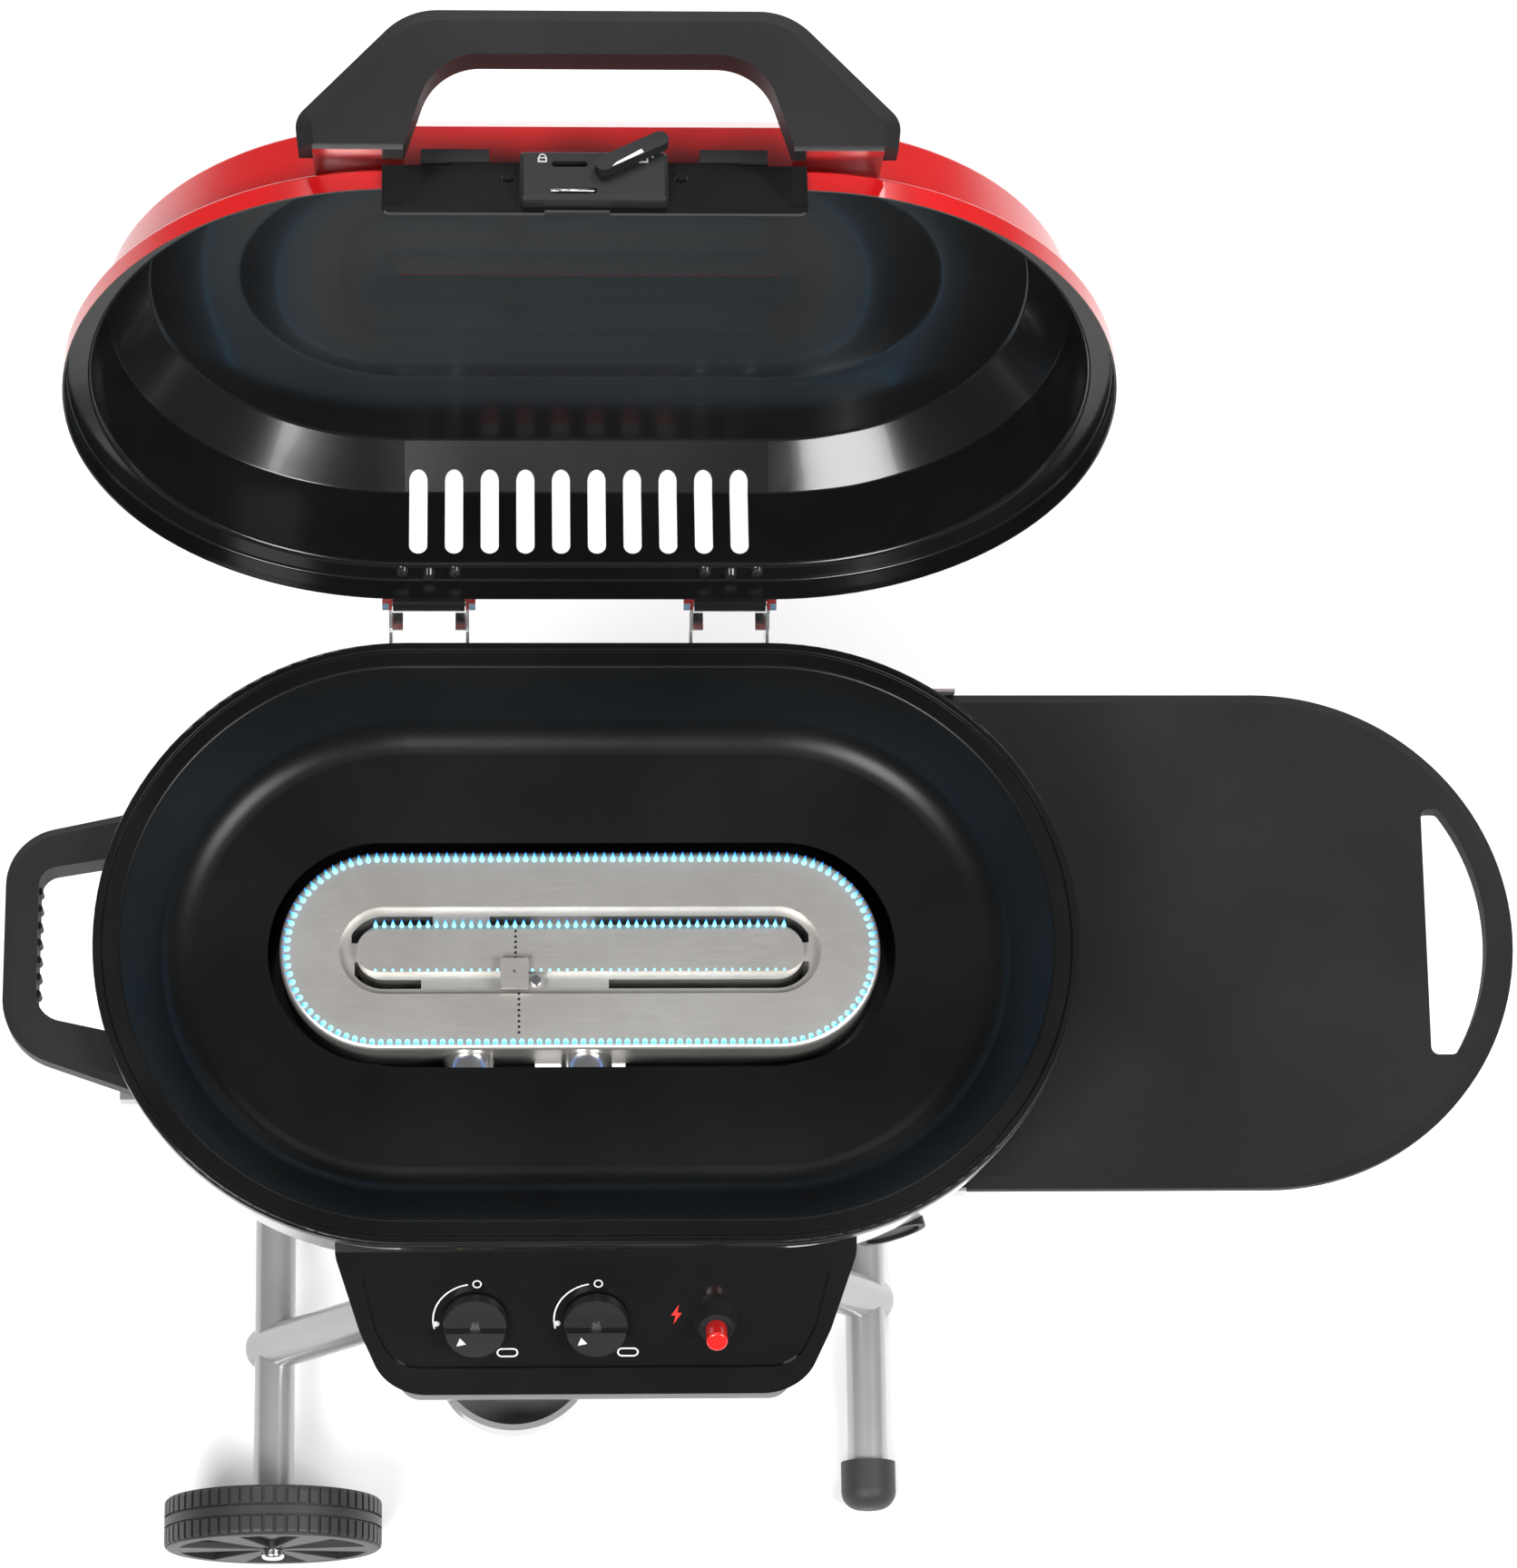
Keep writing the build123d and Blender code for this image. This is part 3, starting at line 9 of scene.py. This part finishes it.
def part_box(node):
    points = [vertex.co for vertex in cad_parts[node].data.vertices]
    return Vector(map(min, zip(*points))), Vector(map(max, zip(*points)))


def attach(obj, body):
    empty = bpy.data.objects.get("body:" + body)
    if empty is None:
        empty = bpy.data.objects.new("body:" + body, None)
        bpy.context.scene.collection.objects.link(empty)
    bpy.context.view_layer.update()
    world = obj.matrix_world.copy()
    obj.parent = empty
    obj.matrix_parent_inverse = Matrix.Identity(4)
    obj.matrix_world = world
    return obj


# The looks of the stand-up gas grill.  Metres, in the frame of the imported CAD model.

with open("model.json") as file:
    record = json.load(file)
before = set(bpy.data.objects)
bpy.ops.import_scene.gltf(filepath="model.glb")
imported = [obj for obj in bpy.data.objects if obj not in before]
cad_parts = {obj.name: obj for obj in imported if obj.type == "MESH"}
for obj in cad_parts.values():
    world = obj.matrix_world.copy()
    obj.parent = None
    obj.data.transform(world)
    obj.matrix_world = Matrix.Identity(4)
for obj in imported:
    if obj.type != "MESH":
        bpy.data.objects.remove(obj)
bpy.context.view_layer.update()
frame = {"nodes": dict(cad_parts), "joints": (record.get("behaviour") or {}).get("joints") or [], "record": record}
nodes = frame["nodes"]
joints = {joint["name"]: joint for joint in frame["joints"]}
MM = 0.001


def middle(node):
    """The centre of a CAD node's box."""
    low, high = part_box(node)
    return (low + high) / 2


# ---------------------------------------------------------------- places, worked out from the frame
BOWL = middle("bowl")
RIM_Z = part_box("bowl")[1].z
FIRE = Vector((BOWL.x, BOWL.y, RIM_Z))           # middle of the cooking rim
STRAIGHT = (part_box("bowl")[1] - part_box("bowl")[0]).x / 2 - (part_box("bowl")[1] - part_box("bowl")[0]).y / 2
PIN = Vector(joints["lid_hinge"]["pos_m"])
OPEN = radians(joints["lid_hinge"]["range_deg"][1])
LID_UP = Vector((0, sin(OPEN), cos(OPEN)))
LID_BACK = Vector((0, cos(OPEN), -sin(OPEN)))
LID_HOME = PIN - LID_BACK * (PIN.y - FIRE.y) - LID_UP * (PIN.z - FIRE.z)
FACE_OUT = Vector(joints["left_knob_turn"]["axis"])
FACE_UP = FACE_OUT.cross(Vector((1, 0, 0)))


# ---------------------------------------------------------------- materials
def new_material(name):
    """An empty node material with its shader and the object's own coordinates."""
    mat = bpy.data.materials.new(name)
    mat.use_nodes = True
    tree = mat.node_tree
    shader = tree.nodes["Principled BSDF"]
    where = tree.nodes.new("ShaderNodeTexCoord").outputs["Object"]
    return mat, tree, shader, where


def noise(tree, where, scale, detail=3.0, rough=0.5):
    """A noise texture's value."""
    node = tree.nodes.new("ShaderNodeTexNoise")
    node.inputs["Scale"].default_value = scale
    node.inputs["Detail"].default_value = detail
    node.inputs["Roughness"].default_value = rough
    tree.links.new(where, node.inputs["Vector"])
    return node.outputs["Fac"]


def ramp(tree, value, low, high, start=0.3, end=0.7):
    """A value turned into a colour between two colours."""
    node = tree.nodes.new("ShaderNodeValToRGB")
    node.color_ramp.elements[0].position = start
    node.color_ramp.elements[0].color = (*low, 1)
    node.color_ramp.elements[1].position = end
    node.color_ramp.elements[1].color = (*high, 1)
    tree.links.new(value, node.inputs["Fac"])
    return node.outputs["Color"]


def span(tree, value, low, high):
    """A value moved from 0..1 to another range."""
    node = tree.nodes.new("ShaderNodeMapRange")
    node.inputs["To Min"].default_value = low
    node.inputs["To Max"].default_value = high
    tree.links.new(value, node.inputs["Value"])
    return node.outputs["Result"]


def bump(tree, shader, value, strength, distance):
    """A bump from a height value."""
    node = tree.nodes.new("ShaderNodeBump")
    node.inputs["Strength"].default_value = strength
    node.inputs["Distance"].default_value = distance
    tree.links.new(value, node.inputs["Height"])
    tree.links.new(node.outputs["Normal"], shader.inputs["Normal"])


def finish_of(name, low, high, rough, patch=9.0, grain=900.0, relief=0.1, depth=0.0002, metal=0.0, coat=0.0,
              shine=0.5):
    """A finish whose colour and gloss drift gently over the surface, with a fine grain on top."""
    mat, tree, shader, where = new_material(name)
    drift = noise(tree, where, patch, 4.0)
    tree.links.new(ramp(tree, drift, low, high), shader.inputs["Base Color"])
    tree.links.new(span(tree, drift, *rough), shader.inputs["Roughness"])
    shader.inputs["Metallic"].default_value = metal
    shader.inputs["Coat Weight"].default_value = coat
    shader.inputs["Specular IOR Level"].default_value = shine
    shader.inputs["Coat Roughness"].default_value = 0.04
    bump(tree, shader, noise(tree, where, grain, 2.0), relief, depth)
    return mat


def brushed(name, low, high, rough, along, metal=1.0):
    """Steel with fine lines along one axis and soft stains."""
    mat, tree, shader, where = new_material(name)
    stretch = tree.nodes.new("ShaderNodeMapping")
    stretch.inputs["Scale"].default_value = along
    tree.links.new(where, stretch.inputs["Vector"])
    lines = noise(tree, stretch.outputs["Vector"], 60.0, 5.0, 0.7)
    stains = noise(tree, where, 14.0, 5.0, 0.6)
    tree.links.new(ramp(tree, stains, low, high, 0.25, 0.75), shader.inputs["Base Color"])
    tree.links.new(span(tree, lines, *rough), shader.inputs["Roughness"])
    shader.inputs["Metallic"].default_value = metal
    bump(tree, shader, lines, 0.05, 0.0002)
    return mat


def flame_material():
    """Blue gas flame: a pale root and a deep blue tip, by height over the burner."""
    mat, tree, shader, where = new_material("flame")
    tree.nodes.remove(shader)
    split = tree.nodes.new("ShaderNodeSeparateXYZ")
    tree.links.new(where, split.inputs["Vector"])
    glow = tree.nodes.new("ShaderNodeEmission")
    up = tree.nodes.new("ShaderNodeMapRange")
    up.inputs["From Min"].default_value = 0.0
    up.inputs["From Max"].default_value = FLAME_H
    tree.links.new(split.outputs["Z"], up.inputs["Value"])
    tree.links.new(ramp(tree, up.outputs["Result"], (0.20, 0.75, 1.0), (0.02, 0.20, 1.0), 0.2, 0.8),
                   glow.inputs["Color"])
    glow.inputs["Strength"].default_value = 3.4
    tree.links.new(glow.outputs["Emission"], tree.nodes["Material Output"].inputs["Surface"])
    return mat


FLAME_H = 5 * MM
FLAME_PITCH = 5.4 * MM
paint = {
    "red_lid": finish_of("red_paint", (0.46, 0.003, 0.004), (0.56, 0.005, 0.006), (0.22, 0.30), coat=0.6,
                         grain=260, relief=0.02),
    "lid_enamel": finish_of("lid_enamel", (0.004, 0.004, 0.004), (0.007, 0.007, 0.007), (0.14, 0.22),
                            coat=0.1, grain=300, relief=0.04, shine=0.4),
    "black_enamel": finish_of("bowl_enamel", (0.003, 0.003, 0.003), (0.006, 0.006, 0.006), (0.26, 0.36),
                              grain=500, relief=0.06, shine=0.2),
    "silver_paint": finish_of("silver_paint", (0.30, 0.30, 0.30), (0.36, 0.36, 0.355), (0.24, 0.34),
                              metal=0.4, coat=0.4, grain=1500, relief=0.04),
    "black_gloss": finish_of("black_gloss", (0.004, 0.004, 0.004), (0.008, 0.008, 0.008), (0.08, 0.16),
                             coat=0.1, grain=220, relief=0.03, shine=0.35),
    "burner_steel": brushed("burner_steel", (0.60, 0.57, 0.53), (0.74, 0.72, 0.69), (0.30, 0.46),
                            (1, 30, 8), 0.85),
    "bright_steel": brushed("bright_steel", (0.66, 0.66, 0.66), (0.80, 0.80, 0.80), (0.12, 0.26),
                            (4, 40, 40)),
    "black_plastic": finish_of("black_plastic", (0.010, 0.010, 0.011), (0.016, 0.016, 0.017), (0.44, 0.56),
                               grain=1400, relief=0.18, shine=0.18),
    "table_plastic": finish_of("table_plastic", (0.010, 0.010, 0.011), (0.015, 0.015, 0.016), (0.52, 0.64),
                               grain=1100, relief=0.30, depth=0.0004, shine=0.10),
    "knob_plastic": finish_of("knob_plastic", (0.014, 0.014, 0.015), (0.021, 0.021, 0.023), (0.36, 0.46),
                              grain=1600, relief=0.12, shine=0.3),
    "red_plastic": finish_of("red_plastic", (0.62, 0.012, 0.010), (0.72, 0.018, 0.014), (0.18, 0.26),
                             coat=0.5,
                             grain=600, relief=0.03),
    "rubber": finish_of("rubber", (0.012, 0.012, 0.012), (0.022, 0.022, 0.022), (0.46, 0.62), grain=900,
                        relief=0.2),
    "tyre": finish_of("tyre", (0.016, 0.016, 0.016), (0.026, 0.026, 0.027), (0.40, 0.54),
                      grain=1000, relief=0.2),
    "brass": brushed("brass", (0.60, 0.44, 0.20), (0.74, 0.58, 0.30), (0.24, 0.38), (20, 4, 20)),
    "ceramic": finish_of("ceramic", (0.74, 0.72, 0.68), (0.84, 0.83, 0.80), (0.2, 0.3), coat=0.4),
    # White for the real print marks, also used for the painted highlight on the latch lever.
    "white_print_and_highlight": finish_of("white_print_and_highlight", (0.74, 0.74, 0.74), (0.82, 0.82, 0.82), (0.4, 0.5)),
    "red_print": finish_of("red_print", (0.62, 0.02, 0.02), (0.70, 0.03, 0.02), (0.4, 0.5)),
    "grey_mark": finish_of("grey_mark", (0.34, 0.34, 0.34), (0.42, 0.42, 0.42), (0.4, 0.5)),
    # Near-black painted shade, laid where the burner's port holes are.
    "hole_shade": finish_of("hole_shade", (0.003, 0.003, 0.003), (0.005, 0.005, 0.005), (0.7, 0.8)),
    "flame": flame_material(),
}

slot_of = {entry["node"]: entry["material_slot"] for entry in frame["record"]["subparts"]}
for name, obj in nodes.items():
    obj.data.materials.clear()
    obj.data.materials.append(paint[slot_of[name]])


def paint_inside(node, home, up):
    """A pressing is black enamel inside: each face is sorted by whether it looks at the pressing's mouth."""
    mesh = nodes[node].data
    mesh.materials.append(paint["lid_enamel"])
    for face in mesh.polygons:
        along = max(-STRAIGHT, min(STRAIGHT, (face.center - home).x))
        core = home + Vector((along, 0, 0)) - up * (20 * MM)
        face.material_index = 1 if (face.center - core).dot(face.normal) < 0 else 0


paint_inside("lid_shell", LID_HOME, LID_UP)
paint_inside("outer_shell", FIRE, Vector((0, 0, -1)))


# ---------------------------------------------------------------- mesh helpers
def mesh_piece(name, build, material, body, bevel=0.0, smooth=True):
    """A piece built by a function that fills a bmesh, painted and set to ride on a body."""
    bm = bmesh.new()
    build(bm)
    bmesh.ops.recalc_face_normals(bm, faces=bm.faces)
    mesh = bpy.data.meshes.new(name)
    bm.to_mesh(mesh)
    bm.free()
    for face in mesh.polygons:
        face.use_smooth = smooth
    obj = bpy.data.objects.new(name, mesh)
    bpy.context.scene.collection.objects.link(obj)
    mesh.materials.append(paint[material])
    if bevel:
        mod = obj.modifiers.new("bevel", "BEVEL")
        mod.width = bevel
        mod.segments = 3
        mod.limit_method = "ANGLE"
    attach(obj, body)
    return obj


def prism(bm, outline, at, right, up, thick):
    """A flat plate: an outline in a plane, raised along the plane's normal."""
    out = right.cross(up)
    base = [bm.verts.new(at + right * u + up * v) for u, v in outline]
    top = [bm.verts.new(at + right * u + up * v + out * thick) for u, v in outline]
    bm.faces.new(base[::-1])
    bm.faces.new(top)
    for i in range(len(base)):
        j = (i + 1) % len(base)
        bm.faces.new((base[i], base[j], top[j], top[i]))


def ring_band(bm, outer, inner, at, right, up, thick):
    """A flat band between two outlines with the same number of points."""
    out = right.cross(up)
    rows = []
    for outline, lift in ((outer, 0), (outer, thick), (inner, thick), (inner, 0)):
        rows.append([bm.verts.new(at + right * u + up * v + out * lift) for u, v in outline])
    count = len(outer)
    for k in range(4):
        a, b = rows[k], rows[(k + 1) % 4]
        for i in range(count):
            j = (i + 1) % count
            bm.faces.new((a[i], a[j], b[j], b[i]))


def disc(radius, count=32, u=0.0, v=0.0):
    """Points of a circle."""
    turns = [2 * pi * i / count for i in range(count)]
    return [(u + radius * cos(angle), v + radius * sin(angle)) for angle in turns]


def stadium(half, radius, count=24):
    """Points of an oval with straight sides."""
    points = []
    for side in (1, -1):
        for i in range(count + 1):
            angle = -pi / 2 + pi * i / count + (0 if side > 0 else pi)
            points.append((side * half + radius * cos(angle), radius * sin(angle)))
    return points


def stadium_walk(half, radius, pitch):
    """Evenly spaced places round an oval, each with its outward direction."""
    total = 4 * half + 2 * pi * radius
    count = round(total / pitch)
    for i in range(count):
        s = total * i / count
        if s < 2 * half:
            yield (-half + s, -radius), (0, -1)
        elif s < 2 * half + pi * radius:
            angle = -pi / 2 + (s - 2 * half) / radius
            yield (half + radius * cos(angle), radius * sin(angle)), (cos(angle), sin(angle))
        elif s < 4 * half + pi * radius:
            yield (half - (s - 2 * half - pi * radius), radius), (0, 1)
        else:
            angle = pi / 2 + (s - 4 * half - pi * radius) / radius
            yield (-half + radius * cos(angle), radius * sin(angle)), (cos(angle), sin(angle))


# ---------------------------------------------------------------- burner: painted port shade and flames
BURNER_LOW, BURNER_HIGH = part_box("burner_top")
BURNER_MID = middle("burner_top")
BURNER_TOP = BURNER_HIGH.z
BURNER_R = (BURNER_HIGH.y - BURNER_LOW.y) / 2
BURNER_HALF = (BURNER_HIGH.x - BURNER_LOW.x) / 2 - BURNER_R
X_AXIS, Y_AXIS, Z_AXIS = Vector((1, 0, 0)), Vector((0, 1, 0)), Vector((0, 0, 1))


def flame(bm, u, v, lean, size):
    """One small flame cone that leans the way its port points."""
    root = 1.5 * MM * size
    base = [
        bm.verts.new((u + root * cos(2 * pi * i / 6), v + root * sin(2 * pi * i / 6), 0)) for i in range(6)
    ]
    tip = bm.verts.new((u + lean[0] * 3.2 * MM * size, v + lean[1] * 3.2 * MM * size, FLAME_H * size))
    bm.faces.new(base[::-1])
    for i in range(6):
        bm.faces.new((base[i], base[(i + 1) % 6], tip))


def build_flames(bm):
    """Flames all round the burner's edge and along both edges of its raised tongue."""
    for (u, v), lean in stadium_walk(BURNER_HALF, BURNER_R - 5 * MM, FLAME_PITCH):
        flame(bm, u, v, lean, 1.1)
    for row, size in ((15.4, 0.95), (-12.5, 0.55)):
        for i in range(48):
            flame(bm, (-126 + 5.35 * i) * MM, row * MM, (0, 1 if row > 0 else -1), size)


flames = mesh_piece("flames", build_flames, "flame", "firebox", smooth=False)
flames.location = (BURNER_MID.x, BURNER_MID.y, BURNER_TOP + 0.2 * MM)


def build_port_shade(bm):
    """Painted shade for the round ports: dark discs in rows, along the tongue and across the plate beside the
    electrode.
    """
    at = Vector((BURNER_MID.x, BURNER_MID.y, BURNER_TOP + 0.05 * MM))
    for i in range(8):
        prism(bm, disc(0.9 * MM, 10, -38 * MM, (-52 + 3.5 * i) * MM), at, X_AXIS, Y_AXIS, 0.1 * MM)
    for i in range(6):
        prism(bm, disc(0.9 * MM, 10, -40 * MM, (-5 + 3.4 * i) * MM), at, X_AXIS, Y_AXIS, 0.1 * MM)


# The burner's ports are painted shade: dark discs, not holes.
port_shade = mesh_piece("burner_port_shade", build_port_shade, "hole_shade", "firebox")


# ---------------------------------------------------------------- printed marks on the control panel
def face_point(x, down_face=0.0, height=0.0):
    """A point on the panel's face, from the left knob's axis."""
    base = Vector(joints["left_knob_turn"]["pos_m"])
    return Vector((x, base.y, base.z)) - FACE_UP * down_face + FACE_OUT * height


PRINT = 0.25 * MM
LIFT = 0.05 * MM                 # a mark's height over the face it lies on
SCALE_R = 25.5 * MM
PILL_HALF = 3.4 * MM
POCKET = 1.5 * MM                # the marks lie in the panel's shallow pocket


def arc_band(bm, at, radius, width, start, end, count=28):
    """A printed arc."""
    quads = []
    for i in range(count + 1):
        angle = radians(start + (end - start) * i / count)
        quads.append([
            bm.verts.new(at + X_AXIS * (r * cos(angle)) + FACE_UP * (r * sin(angle)) + FACE_OUT * PRINT)
            for r in (radius - width / 2, radius + width / 2)
        ])
    for a, b in zip(quads, quads[1:]):
        bm.faces.new((a[0], a[1], b[1], b[0]))


def build_knob_scale(bm, x):
    """The scale round a knob: an arc from a ring at the top to a dot at the left."""
    at = face_point(x, height=LIFT - POCKET)
    arc_band(bm, at, SCALE_R, 0.9 * MM, 100, 195)
    top = at + X_AXIS * (1.2 * MM) + FACE_UP * SCALE_R
    arc_band(bm, top, 2.4 * MM, 0.8 * MM, 0, 360)
    dot = at + X_AXIS * (-23.5 * MM) + FACE_UP * (-3 * MM)
    prism(bm, disc(1.9 * MM), dot, X_AXIS, FACE_UP, PRINT)


def build_pill(bm, x):
    """A small oval mark under a knob."""
    at = face_point(x + 19.5 * MM, 24 * MM, LIFT - POCKET)
    outer = stadium(PILL_HALF, 3.2 * MM, 10)
    inner = stadium(PILL_HALF, 2.2 * MM, 10)
    ring_band(bm, outer, inner, at, X_AXIS, FACE_UP, PRINT)


for side in ("left", "right"):
    knob_x = joints[side + "_knob_turn"]["pos_m"][0]
    scale = mesh_piece("scale_" + side, lambda bm, x=knob_x: build_knob_scale(bm, x), "white_print_and_highlight",
                       "firebox")
    pill = mesh_piece("pill_mark_" + side, lambda bm, x=knob_x: build_pill(bm, x), "white_print_and_highlight", "firebox")
    top = max((v.co - Vector(joints[side + "_knob_turn"]["pos_m"])).dot(FACE_OUT)
              for v in nodes["knob_" + side].data.vertices)
    tip = face_point(knob_x - 8 * MM, 7 * MM, top + LIFT)
    pointer = mesh_piece(
        "pointer_" + side,
        lambda bm, p=tip: prism(bm, [(-3.2 * MM, -2.6 * MM), (2.4 * MM, -1.2 * MM), (-1.2 * MM, 3 * MM)], p,
                                X_AXIS, FACE_UP, 0.2 * MM),
        "white_print_and_highlight", side + "_knob", smooth=False)

BOLT = [(1.5, 7), (-3.2, -0.6), (-0.4, -0.6), (-1.6, -7), (3.2, 1.2), (0.6, 1.2)]
spark_at = face_point(middle("igniter_button").x - 24 * MM, -3 * MM, LIFT - POCKET)
spark = mesh_piece("spark_mark", lambda bm: prism(bm, [(u * MM, v * MM) for u, v in BOLT], spark_at, X_AXIS,
                                                  FACE_UP, PRINT), "red_print", "firebox", smooth=False)


# ---------------------------------------------------------------- marks on the latch, the bowl and the legs
def lid_point(x, back, up):
    """A point given in the lid's own directions, from the middle of the rim it shuts on."""
    return LID_HOME + Vector((x, 0, 0)) + LID_BACK * back + LID_UP * up


def furthest(node, home, way):
    """How far a node reaches from a place in a direction."""
    return max((v.co - home).dot(way) for v in nodes[node].data.vertices)


HOUSING_FACE = furthest("latch_housing", LID_HOME, -LID_BACK)
LEVER_FACE = furthest("latch_lever", LID_HOME, -LID_BACK)
HOUSING_X = middle("latch_housing").x - LID_HOME.x
LATCH_PIN = Vector(joints["latch_swivel"]["pos_m"])
LEVER_LEAN = radians(30)


def build_padlock(bm, x, swing):
    """A small padlock sign: a body under a bow, shut or swung open."""
    at = lid_point(x, -HOUSING_FACE - LIFT, 9 * MM)
    body = [(-2.6 * MM, -2 * MM), (2.6 * MM, -2 * MM), (2.6 * MM, 1.6 * MM), (-2.6 * MM, 1.6 * MM)]
    hole = [(u * 0.62, v * 0.5) for u, v in body]
    ring_band(bm, body, hole, at, X_AXIS, LID_UP, 0.2 * MM)
    bow = at + X_AXIS * swing + LID_UP * (1.6 * MM)
    outer = [(2.2 * MM * cos(pi * i / 8), 2.6 * MM * sin(pi * i / 8)) for i in range(9)]
    inner = [(1.4 * MM * cos(pi * i / 8), 1.8 * MM * sin(pi * i / 8)) for i in range(8, -1, -1)]
    prism(bm, outer + inner, bow, X_AXIS, LID_UP, 0.2 * MM)


for side, offset, swing in (("shut", -28.5 * MM, 0.0), ("open", 27.5 * MM, 3.4 * MM)):
    lock = mesh_piece("padlock_" + side, lambda bm, x=HOUSING_X + offset, w=swing: build_padlock(bm, x, w),
                      "grey_mark", "lid", smooth=False)


def build_lever_highlight(bm):
    """A painted highlight: a white stripe along the lever's lower edge."""
    along = X_AXIS * cos(LEVER_LEAN) + LID_UP * sin(LEVER_LEAN)
    across = LID_UP * cos(LEVER_LEAN) - X_AXIS * sin(LEVER_LEAN)
    pivot = LATCH_PIN + LID_BACK * ((LID_HOME - LATCH_PIN).dot(LID_BACK) - LEVER_FACE - LIFT)
    outline = [(0, -4.4 * MM), (20 * MM, -4.4 * MM), (20 * MM, -1.8 * MM), (3 * MM, -3.2 * MM)]
    prism(bm, outline, pivot, along, across, 0.2 * MM)


# The latch lever's highlight is painted on as a white stripe.
lever_highlight = mesh_piece("lever_painted_highlight", build_lever_highlight, "white_print_and_highlight", "latch", smooth=False)


def build_slot_shine(bm):
    """The bright spring clip that shows in the housing's lower slot."""
    at = lid_point(HOUSING_X - 12 * MM, -HOUSING_FACE - LIFT, -13 * MM)
    prism(bm, stadium(11.5 * MM, 0.9 * MM, 6), at, X_AXIS, LID_UP, 0.5 * MM)


clip = mesh_piece("latch_clip", build_slot_shine, "bright_steel", "lid")


def build_level_dashes(bm):
    """Two rows of small dashes at the bowl's rear crease, for the water level."""
    for start in (-60, 20):
        for i in range(5):
            at = FIRE + Vector(((start + 5.2 * i) * MM, 141.0 * MM, -46.0 * MM))
            prism(bm, stadium(1.0 * MM, 0.5 * MM, 5), at, X_AXIS, Y_AXIS, 0.3 * MM)


dashes = mesh_piece("level_dashes", build_level_dashes, "grey_mark", "firebox")


# ---------------------------------------------------------------- ribs on the wheels' faces
RIB = ((8, 2.8), (66, 12.8))     # distance from the axle and half width, in mm, at the rib's two ends
RIBS = 6
RIB_HIGH = 4.9 * MM
RECESS = 5 * MM


def build_ribs(bm, node):
    """Six wedge-shaped ribs in the recess of each face of a wheel."""
    low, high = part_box(node)
    mid = (low + high) / 2
    for y, right, up in ((low.y + RECESS, X_AXIS, Z_AXIS), (high.y - RECESS, Z_AXIS, X_AXIS)):
        for k in range(RIBS):
            angle = pi / 2 + pi * k / 3 if up == X_AXIS else pi * k / 3
            (near, near_w), (far, far_w) = RIB
            corners = [(near, -near_w), (far, -far_w), (far, far_w), (near, near_w)]
            turned = [((u * cos(angle) - v * sin(angle)) * MM, (u * sin(angle) + v * cos(angle)) * MM)
                      for u, v in corners]
            prism(bm, turned, Vector((mid.x, y, mid.z)), right, up, RIB_HIGH)


for side in ("front", "rear"):
    ribs = mesh_piece("wheel_ribs_" + side, lambda bm, n="wheel_" + side: build_ribs(bm, n), "tyre",
                      side + "_wheel", bevel=0.6 * MM, smooth=False)


# ---------------------------------------------------------------- floor, camera and light
def stage_floor():
    """A plain pale floor."""
    bpy.ops.mesh.primitive_plane_add(size=24, location=(0, 0, 0))
    floor = bpy.context.object
    floor.name = "floor"
    mat, tree, shader, where = new_material("floor_pale")
    tree.links.new(ramp(tree, noise(tree, where, 1.5), (0.93, 0.93, 0.93), (0.96, 0.96, 0.96)),
                   shader.inputs["Base Color"])
    shader.inputs["Roughness"].default_value = 0.8
    floor.data.materials.append(mat)


def add_camera():
    """A long lens, high over the front."""
    place = FIRE + Vector((-0.05156, -0.83913, 3.3360))
    aim = FIRE + Vector((0.10993, 0.12967, -0.115))
    right_hint = Vector((0.99899, -0.01308, 0.04308))
    back = (place - aim).normalized()
    right = (right_hint - back * right_hint.dot(back)).normalized()
    up = back.cross(right)
    data = bpy.data.cameras.new("camera")
    data.lens = 130.14
    data.sensor_width = 36.0
    camera = bpy.data.objects.new("camera", data)
    bpy.context.scene.collection.objects.link(camera)
    camera.matrix_world = Matrix((
        (right.x, up.x, back.x, place.x),
        (right.y, up.y, back.y, place.y),
        (right.z, up.z, back.z, place.z),
        (0, 0, 0, 1),
    ))
    bpy.context.scene.camera = camera


def softbox(name, place, aim, size, power, tall=None):
    """A rectangular studio light."""
    data = bpy.data.lights.new(name, "AREA")
    data.shape = "RECTANGLE"
    data.size = size
    data.size_y = tall or size
    data.energy = power
    lamp = bpy.data.objects.new(name, data)
    bpy.context.scene.collection.objects.link(lamp)
    lamp.location = place
    lamp.rotation_euler = (Vector(aim) - Vector(place)).to_track_quat("-Z", "Y").to_euler()


def light_studio():
    """Soft light from above and from both sides, over a pale surround."""
    world = bpy.data.worlds.new("studio")
    world.use_nodes = True
    world.node_tree.nodes["Background"].inputs["Color"].default_value = (0.95, 0.95, 0.95, 1)
    world.node_tree.nodes["Background"].inputs["Strength"].default_value = 0.18
    bpy.context.scene.world = world
    softbox("key", (-1.8, -2.6, 4.6), (0, 0, 0.6), 2.0, 260)
    softbox("fill", (2.6, -1.6, 4.2), (0, 0, 0.6), 1.8, 180)
    softbox("back_left", (-1.0, 3.0, 3.2), (0, 0, 0.7), 0.9, 60, 1.6)
    softbox("back_right", (1.1, 3.0, 3.2), (0, 0, 0.7), 0.9, 60, 1.6)


bpy.context.scene.view_settings.view_transform = "Standard"
stage_floor()
add_camera()
light_studio()
